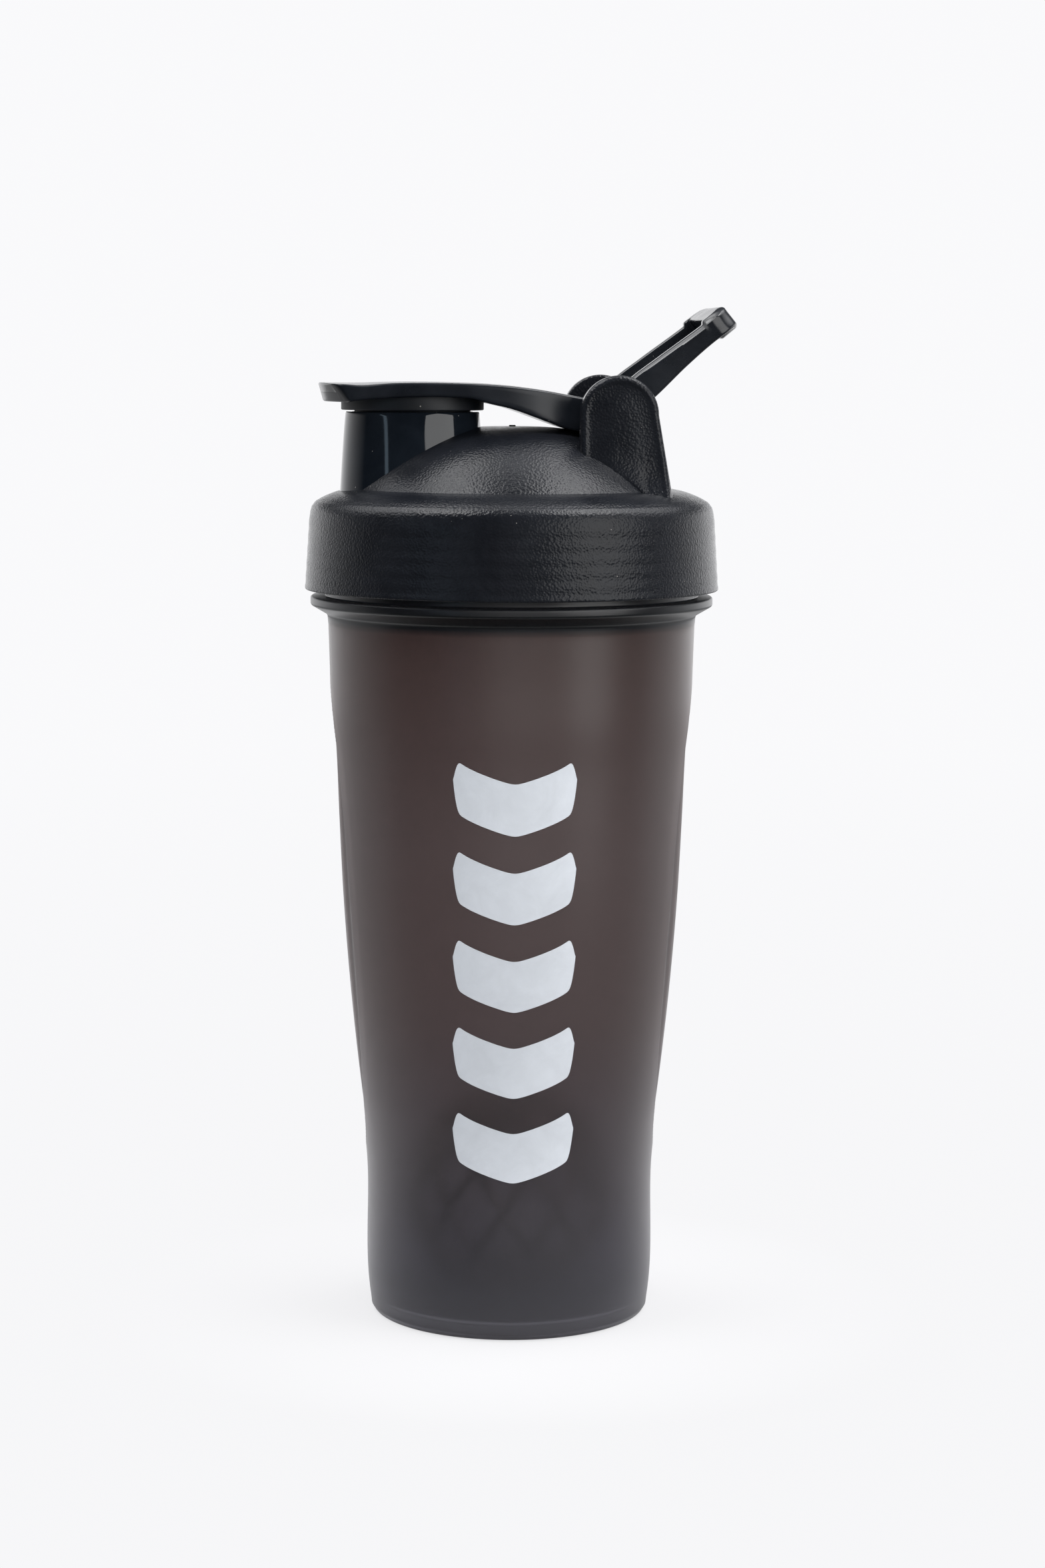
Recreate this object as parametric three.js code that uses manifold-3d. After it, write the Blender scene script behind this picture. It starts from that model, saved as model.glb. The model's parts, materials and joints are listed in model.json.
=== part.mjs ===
// Protein shaker bottle: a smoky cup with a screw lid, a flip cap over the spout, a carrying loop and
// a wire whisk ball. Millimetres, +Z up. The origin is the centre of the base on the surface it
// stands on. The spout points to -X, the hinge is at +X and its axis runs along Y.
import * as THREE from "three";
import { mergeVertices } from "three/addons/utils/BufferGeometryUtils.js";
import Module from "manifold-3d";

const wasm = await Module();
wasm.setup();

// ---------------------------------------------------------------- driving dimensions

const CLEARANCE = 0.3; // between neighbouring pieces
const ROUND_SEGMENTS = 48; // around the cup and the lid
const SPOUT_SEGMENTS = 32; // around the spout and what fits it
const SMALL_SEGMENTS = 20; // around pins and eyes
const SINK = 0.4; // how far a joined feature reaches into the wall that carries it

// Cup
const BODY_HEIGHT = 167.6; // foot to the underside of the collar
const BASE_RADIUS = 33.4;
const LOWER_HEIGHT = 39; // the nearly straight lower part of the wall
const LOWER_FLARE = 1.2; // how much that part widens
const NECK_RADIUS = 44.1; // outside of the threaded neck
const NECK_HEIGHT = 18; // collar to rim
const NECK_STEP = 0.5; // the wall's top stands this much inside the neck's radius
const COLLAR_HEIGHT = 5;
const COLLAR_REACH = 3.6; // beyond the neck
const CUP_WALL = 1.7;
const NECK_WALL = 2.1;
const FOOT_WIDTH = 3.2;
const FOOT_HEIGHT = 1;
const FLOOR_THICKNESS = 2.2;
const FLOOR_FILLET = 5;
const GRIP_START = 40; // base to the lower end of a grip
const GRIP_TOP_GAP = 15.6; // upper end of a grip to the collar
const GRIP_HALF_WIDTH = 16.1;
const GRIP_DEPTH = 0.5;
const CUP_TURN = THREE.MathUtils.degToRad(-4.5); // where the thread stops the cup under the lid
const WALL_STEPS = 7;
// The upper wall's outline: share of its height, share of its widening.
const UPPER_SHAPE = [
  [0, 0],
  [0.12, 0.2],
  [0.365, 0.578],
  [0.62, 0.794],
  [0.81, 0.91],
  [1, 1],
];

// Screw thread
const THREAD_PITCH = 6;
const THREAD_HEIGHT = 1.3; // crest above the wall that carries it
const THREAD_ROOT = 2.2; // width at the wall
const THREAD_CREST = 1;
const THREAD_STEP = THREE.MathUtils.degToRad(7.5);
const CUP_THREAD_TURNS = 1.1;
const LID_THREAD_TURNS = 1;
const THREAD_RIM_GAP = 3.4; // upper end of the cup's thread to the rim

// Lid
const LID_GAP = 1.6; // collar to skirt
const LID_BORE = 2.3; // neck to the skirt's inside
const SKIRT_WALL = 2.63;
const SKIRT_DRAFT = 1.03; // how much the skirt narrows up to the shoulder
const SHOULDER_HEIGHT = 7.4; // rim to the crease below the dome
const CREASE_INSET = 6.4; // the crease stands this much inside the neck's radius
const DOME_HEIGHT = 14.6;
const LID_WALL = 1.9;
const SEAL_LIP_GAP = 1.1; // seal lip to the inside of the neck
const SEAL_LIP_WALL = 1.3;
const SEAL_LIP_DEPTH = 3.6; // below the rim
const SPOUT_X = -23.6;
const SPOUT_RADIUS = 15.8; // outside, at the mouth
const SPOUT_FLARE = 1.3; // more at the foot
const SPOUT_WALL = 1.8;
const SPOUT_RISE = 18; // crease to mouth
const HINGE_X = 23.05;
const HINGE_OVER_DOME = 6.34; // hinge axis above the dome below it
const EAR_RADIUS = 9.1;
const EAR_THICKNESS = 4.5;
const EAR_FLARE = 3.4; // how much further out the ear's outer foot stands
const GATE_RADIUS = 0.8;
const GATE_HEIGHT = 0.35;

// Gasket
const GASKET_THICKNESS = 1.5;
const GASKET_INSET = 2.7; // inside the neck's outer radius
const GASKET_REACH = 1.5; // outside it

// Flip cap
const HUB_HALF_WIDTH = 14.8;
const HUB_RADIUS = 5.2;
const TRUNNION_RADIUS = 3;
const CAP_OVERHANG = 2.8; // beyond the spout, on each side
const CAP_REACH = 6.4; // beyond the spout, at the tip
const CAP_BASE = 2.8; // spout mouth to the underside of the cap
const CAP_THICKNESS = 4.2; // underside at the tip to the crown
const CAP_CROWN = 0.7; // how much the long edges lie below the crown
const TIP_SLANT = 2; // how much the underside stands back from the tip
const TIP_BOW = 4.4; // how much the tip's corners stand back from its middle
const SEAT_REACH = 1; // seat ring beyond the spout
const PLUG_DEPTH = 6;
const PLUG_WALL = 1.6;
const PLUG_TAPER = 0.5;

// Carrying loop
const LOOP_LEG_WIDTH = 4;
const LOOP_EYE_RADIUS = 6;
const LOOP_LENGTH = 36.6; // hinge axis to the end
const LOOP_BAR = 5; // crossbar
const LOOP_TOP_ROOT = 4.6; // upper edge above the line from the hinge, where the leg leaves the eye
const LOOP_TOP_END = 3.3; // and at the end
const LOOP_UNDER_ROOT = 2.4; // lower edge below that line
const LOOP_UNDER_END = 1.4;
const LOOP_LIP = 0.7; // raised lip above the crossbar
const LOOP_LIP_LENGTH = 8;
const LOOP_CORNER = 5;
const LOOP_WINDOW_CORNER = 3;
const LOOP_REST = THREE.MathUtils.degToRad(39.5); // above +X

// Whisk ball
const BALL_RADIUS = 25;
const WIRE_RADIUS = 1.1;
const TILTED_RINGS = 4;
const RING_TILT = THREE.MathUtils.degToRad(57);

// ---------------------------------------------------------------- places worked out from them

const COLLAR_TOP = BODY_HEIGHT + COLLAR_HEIGHT;
const COLLAR_RADIUS = NECK_RADIUS + COLLAR_REACH;
const RIM_Z = COLLAR_TOP + NECK_HEIGHT;
const NECK_BORE = NECK_RADIUS - NECK_WALL;
const FLOOR_Z = FOOT_HEIGHT + FLOOR_THICKNESS;
const SKIRT_BOTTOM = COLLAR_TOP + LID_GAP;
const SKIRT_BORE = NECK_RADIUS + LID_BORE;
const SKIRT_RADIUS = SKIRT_BORE + SKIRT_WALL;
const SHOULDER_RADIUS = SKIRT_RADIUS - SKIRT_DRAFT;
const CREASE_Z = RIM_Z + SHOULDER_HEIGHT;
const CREASE_RADIUS = NECK_RADIUS - CREASE_INSET;
const SEAT_Z = RIM_Z + GASKET_THICKNESS + 2 * CLEARANCE;
const MOUTH_Z = CREASE_Z + SPOUT_RISE;
const SPOUT_BORE = SPOUT_RADIUS - SPOUT_WALL;
const HINGE_Z = domeZ(HINGE_X) + HINGE_OVER_DOME;
const LEG_INNER = HUB_HALF_WIDTH + CLEARANCE;
const LEG_OUTER = LEG_INNER + LOOP_LEG_WIDTH;
const EAR_INNER = LEG_OUTER + CLEARANCE;
const EAR_OUTER = EAR_INNER + EAR_THICKNESS;
const TRUNNION_END = EAR_OUTER - 1.6;
const PIN_BORE = TRUNNION_RADIUS + CLEARANCE;

// ---------------------------------------------------------------- solids

// A closed geometry as a solid for joining and cutting.
function solid(geometry) {
  geometry.deleteAttribute("normal");
  geometry.deleteAttribute("uv");
  const merged = mergeVertices(geometry, 1e-4);
  return new wasm.Manifold(
    new wasm.Mesh({
      numProp: 3,
      vertProperties: merged.attributes.position.array,
      triVerts: new Uint32Array(merged.index.array),
    }),
  );
}

// A profile of [radius, height] points turned about Z.
function turned(profile, segments = ROUND_SEGMENTS) {
  const points = profile.map(([r, z]) => new THREE.Vector2(r, z));
  return solid(new THREE.LatheGeometry(points, segments).rotateX(Math.PI / 2));
}

// A cylinder along Z between two heights.
function rod(radius, low, high, segments = SMALL_SEGMENTS) {
  const geometry = new THREE.CylinderGeometry(radius, radius, high - low, segments);
  return solid(geometry.rotateX(Math.PI / 2).translate(0, 0, (low + high) / 2));
}

// A cylinder along Y on the hinge axis, from -halfLength to halfLength.
function hingeRod(radius, halfLength) {
  const geometry = new THREE.CylinderGeometry(radius, radius, 2 * halfLength, SMALL_SEGMENTS);
  return solid(geometry.translate(HINGE_X, 0, HINGE_Z));
}

// A shape drawn in X and Z, extruded along Y from nearY to farY.
function extrudedAlongY(shape, nearY, farY, curveSegments = 12) {
  const options = { depth: farY - nearY, bevelEnabled: false, curveSegments };
  return solid(new THREE.ExtrudeGeometry(shape, options).rotateX(Math.PI / 2).translate(0, farY, 0));
}

// A solid turned about the hinge axis: positive lifts what lies on the spout's side.
function turnedAboutHinge(piece, angle) {
  return piece
    .translate([-HINGE_X, 0, -HINGE_Z])
    .rotate([0, THREE.MathUtils.radToDeg(angle), 0])
    .translate([HINGE_X, 0, HINGE_Z]);
}

// A helix that keeps its section upright: the first section axis points away from Z.
class ThreadPath extends THREE.Curve {
  constructor(radius, bottom, turns, startAngle) {
    super();
    Object.assign(this, { radius, bottom, turns, startAngle });
  }

  getPoint(t, target = new THREE.Vector3()) {
    const angle = this.startAngle + 2 * Math.PI * this.turns * t;
    const z = this.bottom + THREAD_PITCH * this.turns * t;
    return target.set(this.radius * Math.cos(angle), this.radius * Math.sin(angle), z);
  }

  computeFrenetFrames(steps) {
    const tangents = [];
    const normals = [];
    const binormals = [];
    for (let i = 0; i <= steps; i++) {
      const tangent = this.getTangent(i / steps);
      const point = this.getPoint(i / steps);
      const normal = new THREE.Vector3(point.x, point.y, 0).normalize();
      tangents.push(tangent);
      normals.push(normal);
      binormals.push(new THREE.Vector3().crossVectors(tangent, normal));
    }
    return { tangents, normals, binormals };
  }
}

// A thread ridge on a wall of the given radius; side is 1 on an outside wall and -1 on an inside one.
function threadRidge(wallRadius, side, bottom, turns, startAngle) {
  const section = new THREE.Shape([
    new THREE.Vector2(-side * SINK, -THREAD_ROOT / 2),
    new THREE.Vector2(side * THREAD_HEIGHT, -THREAD_CREST / 2),
    new THREE.Vector2(side * THREAD_HEIGHT, THREAD_CREST / 2),
    new THREE.Vector2(-side * SINK, THREAD_ROOT / 2),
  ]);
  const extrudePath = new ThreadPath(wallRadius, bottom, turns, startAngle);
  const steps = Math.round((2 * Math.PI * turns) / THREAD_STEP);
  return solid(new THREE.ExtrudeGeometry(section, { steps, extrudePath }));
}

// ---------------------------------------------------------------- cup

// The wall's outline from the foot to the collar, moved in by an inset.
function wallOutline(inset) {
  const lowerTop = BASE_RADIUS + LOWER_FLARE;
  const widening = NECK_RADIUS - NECK_STEP - lowerTop;
  const upper = new THREE.SplineCurve(UPPER_SHAPE.map(([climb, share]) => new THREE.Vector2(share, climb)));
  return upper.getPoints(WALL_STEPS).map(({ x, y }) => [
    lowerTop + widening * x - inset,
    LOWER_HEIGHT + (BODY_HEIGHT - LOWER_HEIGHT) * y,
  ]);
}

// The quarter circle between the floor and the inner wall.
function floorFillet(innerRadius) {
  const centre = innerRadius - FLOOR_FILLET;
  return [0, 1, 2, 3].map((i) => {
    const angle = (Math.PI / 6) * i;
    return [centre + FLOOR_FILLET * Math.cos(angle), FLOOR_Z + FLOOR_FILLET * (1 - Math.sin(angle))];
  });
}

// One grip: what an upright ellipse cuts out of the wall down to the grip's floor, on both sides.
function gripCutter() {
  const top = BODY_HEIGHT - GRIP_TOP_GAP;
  const outline = new THREE.Shape();
  outline.absellipse(0, (GRIP_START + top) / 2, GRIP_HALF_WIDTH, (top - GRIP_START) / 2, 0, 2 * Math.PI);
  const across = extrudedAlongY(outline, -SKIRT_RADIUS, SKIRT_RADIUS, 10).rotate([0, 0, 90]);
  const floor = [
    [0, 0],
    [BASE_RADIUS - GRIP_DEPTH, 0],
    ...wallOutline(GRIP_DEPTH),
    [0, BODY_HEIGHT],
  ];
  return across.subtract(turned(floor));
}

function cupSolid() {
  const footOuter = BASE_RADIUS - 0.8;
  const shell = turned([
    [0, FOOT_HEIGHT],
    [footOuter - FOOT_WIDTH, FOOT_HEIGHT],
    [footOuter - FOOT_WIDTH + FOOT_HEIGHT, 0],
    [footOuter, 0],
    [BASE_RADIUS, 0.8],
    ...wallOutline(0),
    [NECK_RADIUS + 0.8, BODY_HEIGHT + 1.4],
    [COLLAR_RADIUS - 0.6, COLLAR_TOP - 1.6],
    [COLLAR_RADIUS, COLLAR_TOP - 1],
    [COLLAR_RADIUS, COLLAR_TOP - 0.5],
    [COLLAR_RADIUS - 0.5, COLLAR_TOP],
    [NECK_RADIUS, COLLAR_TOP],
    [NECK_RADIUS, RIM_Z - 0.5],
    [NECK_RADIUS - 0.5, RIM_Z],
    [NECK_BORE + 0.5, RIM_Z],
    [NECK_BORE, RIM_Z - 0.5],
    [NECK_BORE, COLLAR_TOP],
    ...wallOutline(CUP_WALL).reverse(),
    ...floorFillet(BASE_RADIUS - CUP_WALL),
    [0, FLOOR_Z],
  ]);
  const bottom = RIM_Z - THREAD_RIM_GAP - THREAD_PITCH * CUP_THREAD_TURNS;
  const ridge = threadRidge(NECK_RADIUS, 1, bottom, CUP_THREAD_TURNS, 0);
  return shell.subtract(gripCutter()).add(ridge);
}

// ---------------------------------------------------------------- lid and gasket

function domeZ(radius) {
  return CREASE_Z + DOME_HEIGHT * (1 - (radius / CREASE_RADIUS) ** 3);
}

// The dome's outline from the crease to just short of the axis.
function domeOutline(outerRadius, lift, steps = 7) {
  return Array.from({ length: steps }, (_, i) => {
    const share = 1 - i / steps;
    return [outerRadius * share, domeZ(CREASE_RADIUS * share) + lift];
  });
}

// An ear's outline: upright inner edge, round top, outer edge that flares down onto the shoulder.
function earOutline() {
  const foot = CREASE_Z - LID_WALL;
  const outline = new THREE.Shape();
  outline.moveTo(HINGE_X - EAR_RADIUS, foot);
  outline.lineTo(HINGE_X + EAR_RADIUS + EAR_FLARE, foot);
  outline.lineTo(HINGE_X + EAR_RADIUS, HINGE_Z);
  outline.absarc(HINGE_X, HINGE_Z, EAR_RADIUS, 0, Math.PI, false);
  return outline;
}

// The spout with a rounded mouth, solid inside, about Z through its own middle.
function spoutSolid() {
  return turned([
    [0, CREASE_Z - LID_WALL],
    [SPOUT_RADIUS + SPOUT_FLARE, CREASE_Z - LID_WALL],
    [SPOUT_RADIUS + 0.55 * SPOUT_FLARE, CREASE_Z + 0.5 * SPOUT_RISE],
    [SPOUT_RADIUS, MOUTH_Z - 0.6],
    [SPOUT_RADIUS - 0.5, MOUTH_Z],
    [0, MOUTH_Z],
  ], SPOUT_SEGMENTS).translate([SPOUT_X, 0, 0]);
}

// The space under the lid: skirt bore, gasket seat, seal lip and the dome's underside.
function lidHollow() {
  const lipOuter = NECK_BORE - SEAL_LIP_GAP;
  const lipInner = lipOuter - SEAL_LIP_WALL;
  const lipBottom = RIM_Z - SEAL_LIP_DEPTH;
  return turned([
    [0, SKIRT_BOTTOM - 1],
    [SKIRT_BORE, SKIRT_BOTTOM - 1],
    [SKIRT_BORE, SEAT_Z],
    [lipOuter, SEAT_Z],
    [lipOuter - 0.3, lipBottom],
    [lipInner, lipBottom],
    [lipInner - 0.3, SEAT_Z],
    ...domeOutline(CREASE_RADIUS - LID_WALL, -LID_WALL),
    [0, CREASE_Z + DOME_HEIGHT - LID_WALL],
  ]);
}

function lidSolid() {
  const outside = turned([
    [0, SKIRT_BOTTOM],
    [SKIRT_RADIUS - 0.3, SKIRT_BOTTOM],
    [SKIRT_RADIUS, SKIRT_BOTTOM + 0.3],
    [SHOULDER_RADIUS, RIM_Z - 0.2],
    [SHOULDER_RADIUS - 0.3, RIM_Z + 1.9],
    [SHOULDER_RADIUS - 1.1, RIM_Z + 3.8],
    [SHOULDER_RADIUS - 2.3, RIM_Z + 4.8],
    [SHOULDER_RADIUS - 4.3, RIM_Z + 5.7],
    [CREASE_RADIUS + 2.8, CREASE_Z - 0.5],
    ...domeOutline(CREASE_RADIUS, 0),
    [0, CREASE_Z + DOME_HEIGHT],
  ]);
  const gate = rod(GATE_RADIUS, CREASE_Z, CREASE_Z + DOME_HEIGHT + GATE_HEIGHT, 12);
  const nearEar = extrudedAlongY(earOutline(), -EAR_OUTER, -EAR_INNER);
  const farEar = extrudedAlongY(earOutline(), EAR_INNER, EAR_OUTER);
  const mouth = rod(SPOUT_BORE, SEAT_Z + LID_WALL, MOUTH_Z + 1, SPOUT_SEGMENTS).translate([SPOUT_X, 0, 0]);
  const pinHole = hingeRod(PIN_BORE, TRUNNION_END + CLEARANCE);
  // The lid's ridge lies just under the cup's, which it bears against when the lid is tight.
  const axialGap = (THREAD_ROOT + THREAD_CREST) / 2 + CLEARANCE;
  const cupBottom = RIM_Z - THREAD_RIM_GAP - THREAD_PITCH * CUP_THREAD_TURNS;
  const startAngle = 2 * Math.PI * (CUP_THREAD_TURNS - LID_THREAD_TURNS);
  const bottom = cupBottom + THREAD_PITCH * (CUP_THREAD_TURNS - LID_THREAD_TURNS) - axialGap;
  const ridge = threadRidge(SKIRT_BORE, -1, bottom, LID_THREAD_TURNS, startAngle);
  return outside
    .add(spoutSolid())
    .add(gate)
    .add(nearEar)
    .add(farEar)
    .subtract(lidHollow())
    .subtract(mouth)
    .subtract(pinHole)
    .add(ridge);
}

function gasketSolid() {
  const low = RIM_Z + CLEARANCE;
  const high = low + GASKET_THICKNESS;
  const inner = NECK_RADIUS - GASKET_INSET;
  const outer = NECK_RADIUS + GASKET_REACH;
  return turned([
    [inner, low],
    [outer, low],
    [outer, high],
    [inner, high],
    [inner, low],
  ]);
}

// ---------------------------------------------------------------- flip cap

// The cap's plate and arm: a box whose rows follow the top and bottom lines and the plan's width.
function capPlate() {
  const base = MOUTH_Z + CAP_BASE;
  const crown = base + CAP_THICKNESS;
  const tip = SPOUT_X - SPOUT_RADIUS - CAP_REACH;
  const spoutBack = SPOUT_X + SPOUT_RADIUS;
  // Side view from the tip to the hinge: x, height of the top and of the underside.
  const stations = [
    [tip, crown - 0.5, base],
    [tip + 5, crown - 0.5, base],
    [tip + 12, crown - 0.2, base + 0.5],
    [SPOUT_X, crown, base + 1.1],
    [spoutBack - 6, crown - 0.1, base + 0.9],
    [spoutBack + 0.6, crown - 0.4, base - 0.3],
    [HINGE_X - 21, crown - 1.3, base - 2.7],
    [HINGE_X - 12, crown - 2.8, HINGE_Z - 3],
    [HINGE_X - 6, HINGE_Z + 3.4, HINGE_Z - 4.8],
    [HINGE_X - 1, HINGE_Z + 3.2, HINGE_Z - 4.4],
  ];
  const line = (column) => new THREE.SplineCurve(stations.map((row) => new THREE.Vector2(row[0], row[column])));
  const top = line(1);
  const bottom = line(2);
  const wide = SPOUT_RADIUS + CAP_OVERHANG;
  const smooth = THREE.MathUtils.smoothstep;
  const halfWidth = (x) => {
    const tipRound = 2.2 * (1 - smooth(x, tip, tip + 7)) ** 2;
    const taper = (wide - HUB_HALF_WIDTH) * smooth(x, SPOUT_X, spoutBack + 6);
    return wide - tipRound - taper;
  };
  const geometry = new THREE.BoxGeometry(2, 2, 2, 20, 6, 1);
  const position = geometry.attributes.position;
  for (let i = 0; i < position.count; i++) {
    const along = (position.getX(i) + 1) / 2;
    const across = position.getY(i);
    const upper = top.getPoint(along);
    const lower = bottom.getPoint(along);
    const height = (position.getZ(i) + 1) / 2;
    const bow = TIP_BOW * across ** 2 * (1 - smooth(upper.x, tip, tip + 14));
    const slant = TIP_SLANT * (1 - height) * (1 - smooth(upper.x, tip, tip + 5));
    const x = upper.x + bow + slant;
    const z = THREE.MathUtils.lerp(lower.y, upper.y - CAP_CROWN * across ** 2, height);
    position.setXYZ(i, x, across * halfWidth(upper.x), z);
  }
  return solid(geometry);
}

function flipCapSolid() {
  const seatBottom = MOUTH_Z + CLEARANCE + 0.1;
  const seatRadius = SPOUT_RADIUS + SEAT_REACH;
  const plugRadius = SPOUT_BORE - CLEARANCE;
  const plugBottom = MOUTH_Z - PLUG_DEPTH;
  const base = MOUTH_Z + CAP_BASE + 2;
  // Seat ring over the spout's rim and the plug inside its bore, as one turned ring.
  const seal = turned([
    [plugRadius - PLUG_WALL, plugBottom],
    [plugRadius - PLUG_TAPER, plugBottom],
    [plugRadius, seatBottom - 1.5],
    [plugRadius, seatBottom],
    [seatRadius, seatBottom],
    [seatRadius, base],
    [plugRadius - PLUG_WALL, base],
    [plugRadius - PLUG_WALL, plugBottom],
  ], SPOUT_SEGMENTS).translate([SPOUT_X, 0, 0]);
  // The arm stays clear of the dome below it.
  const overDome = turned([
    [0, CREASE_Z],
    ...domeOutline(CREASE_RADIUS, 2 * CLEARANCE),
    [0, CREASE_Z + DOME_HEIGHT + 2 * CLEARANCE],
  ]);
  return capPlate()
    .subtract(overDome)
    .add(seal)
    .add(hingeRod(HUB_RADIUS, HUB_HALF_WIDTH))
    .add(hingeRod(TRUNNION_RADIUS, TRUNNION_END));
}

// ---------------------------------------------------------------- carrying loop

// The loop's side view, lying along +X from the hinge: eye, tapering leg and raised lip at the end.
function loopSide() {
  const end = HINGE_X + LOOP_LENGTH;
  const lipStart = end - LOOP_LIP_LENGTH;
  const outline = new THREE.Shape();
  outline.absarc(HINGE_X, HINGE_Z, LOOP_EYE_RADIUS, Math.PI / 4, 1.75 * Math.PI, false);
  const eyeEdge = HINGE_X + LOOP_EYE_RADIUS;
  const lipTop = HINGE_Z + LOOP_TOP_END + LOOP_LIP;
  outline.lineTo(eyeEdge, HINGE_Z - LOOP_UNDER_ROOT);
  outline.lineTo((eyeEdge + end) / 2, HINGE_Z - LOOP_UNDER_END);
  outline.lineTo(end - 1.5, HINGE_Z - LOOP_UNDER_END - 0.2);
  outline.lineTo(end, HINGE_Z - LOOP_UNDER_END + 1.2);
  outline.lineTo(end - 0.6, lipTop - 1.2);
  outline.lineTo(end - 2, lipTop);
  outline.lineTo(lipStart + 0.7, lipTop);
  outline.lineTo(lipStart, HINGE_Z + LOOP_TOP_END);
  outline.lineTo(eyeEdge, HINGE_Z + LOOP_TOP_ROOT);
  return outline;
}

// The loop's plan: a U with round corners, open at the hinge.
function loopPlan() {
  const end = HINGE_X + LOOP_LENGTH;
  const start = HINGE_X - LOOP_EYE_RADIUS - 1;
  const quarter = Math.PI / 2;
  const outline = new THREE.Shape();
  outline.moveTo(start, -LEG_OUTER);
  outline.lineTo(end - LOOP_CORNER, -LEG_OUTER);
  outline.absarc(end - LOOP_CORNER, -LEG_OUTER + LOOP_CORNER, LOOP_CORNER, -quarter, 0, false);
  outline.absarc(end - LOOP_CORNER, LEG_OUTER - LOOP_CORNER, LOOP_CORNER, 0, quarter, false);
  outline.lineTo(start, LEG_OUTER);
  outline.lineTo(start, LEG_INNER);
  const windowEnd = end - LOOP_BAR - LOOP_WINDOW_CORNER;
  const windowSide = LEG_INNER - LOOP_WINDOW_CORNER;
  outline.absarc(windowEnd, windowSide, LOOP_WINDOW_CORNER, quarter, 0, true);
  outline.absarc(windowEnd, -windowSide, LOOP_WINDOW_CORNER, 0, -quarter, true);
  outline.lineTo(start, -LEG_INNER);
  return outline;
}

function carryLoopSolid() {
  const height = 2 * LOOP_EYE_RADIUS + 2;
  const options = { depth: height, bevelEnabled: false, curveSegments: 6 };
  const plan = new THREE.ExtrudeGeometry(loopPlan(), options).translate(0, 0, HINGE_Z - height / 2);
  const lying = extrudedAlongY(loopSide(), -LEG_OUTER - 1, LEG_OUTER + 1)
    .intersect(solid(plan))
    .subtract(hingeRod(PIN_BORE, LEG_OUTER + 1));
  return turnedAboutHinge(lying, -LOOP_REST);
}

// ---------------------------------------------------------------- whisk ball

// Wire rings of one radius about one middle: tilted ones spread round Z and an upright one.
function whiskBallSolid() {
  const ring = () => new THREE.TorusGeometry(BALL_RADIUS - WIRE_RADIUS, WIRE_RADIUS, 5, 30);
  const tilted = Array.from({ length: TILTED_RINGS }, (_, i) =>
    ring()
      .rotateX(RING_TILT)
      .rotateZ((2 * Math.PI * i) / TILTED_RINGS),
  );
  const upright = ring().rotateX(Math.PI / 2).rotateZ(RING_TILT);
  const middle = FLOOR_Z + CLEARANCE + BALL_RADIUS;
  return [...tilted, upright]
    .map((geometry) => solid(geometry))
    .reduce((made, piece) => made.add(piece))
    .translate([0, 0, middle]);
}

// ---------------------------------------------------------------- scene graph

function material(color, roughness, metalness = 0) {
  return new THREE.MeshStandardMaterial({ color, roughness, metalness });
}

// A named mesh of a finished solid.
function named(name, piece, finish) {
  const { vertProperties, triVerts } = piece.getMesh();
  const geometry = new THREE.BufferGeometry();
  geometry.setAttribute("position", new THREE.BufferAttribute(vertProperties, 3));
  geometry.setIndex(new THREE.BufferAttribute(triVerts, 1));
  geometry.computeVertexNormals();
  const mesh = new THREE.Mesh(geometry, finish);
  mesh.name = name;
  return mesh;
}

const smokyPlastic = material(0x6f6a68, 0.4);
smokyPlastic.transparent = true;
smokyPlastic.opacity = 0.6;
const grainedBlack = material(0x15161a, 0.55);

const bottle = new THREE.Group();
const cup = named("cup", cupSolid(), smokyPlastic);
cup.rotation.z = CUP_TURN;
bottle.add(cup);
bottle.add(named("whisk_ball", whiskBallSolid(), material(0xb8b8ba, 0.3, 1)));

const lidAssembly = new THREE.Group();
lidAssembly.add(named("lid_gasket", gasketSolid(), material(0x3a3a3e, 0.7)));
lidAssembly.add(named("lid", lidSolid(), grainedBlack));
lidAssembly.add(named("flip_cap", flipCapSolid(), material(0x121317, 0.35)));
lidAssembly.add(named("carry_loop", carryLoopSolid(), material(0x121317, 0.3)));
bottle.add(lidAssembly);

export default bottle;
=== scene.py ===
"""Looks for a protein shaker bottle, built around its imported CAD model.

Everything is in metres in the CAD model's frame: +Z up, the spout towards -X, the hinge at +X with
its axis along Y. Sizes in the dataclasses are millimetres unless their name says otherwise.
"""

import json
import logging
import math
from dataclasses import dataclass, field
from enum import Enum

import bpy
import numpy as np
from mathutils import Matrix, Vector
from numpy.typing import NDArray


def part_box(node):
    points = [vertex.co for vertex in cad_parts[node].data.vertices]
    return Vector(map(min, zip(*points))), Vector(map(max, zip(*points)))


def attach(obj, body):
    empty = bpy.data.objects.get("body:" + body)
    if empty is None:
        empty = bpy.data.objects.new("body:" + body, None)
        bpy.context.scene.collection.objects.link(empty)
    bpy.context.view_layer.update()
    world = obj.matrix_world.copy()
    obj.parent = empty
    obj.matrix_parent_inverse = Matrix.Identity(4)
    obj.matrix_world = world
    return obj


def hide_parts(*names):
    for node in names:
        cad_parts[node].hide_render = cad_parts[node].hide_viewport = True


Array = NDArray[np.float64]
Indices = NDArray[np.int64]
Colour = tuple[float, float, float]
Corner = tuple[float, float, float]
Material = bpy.types.Material
Socket = bpy.types.NodeSocket
Inputs = bpy.types.bpy_prop_collection
Value = Socket | float

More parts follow.
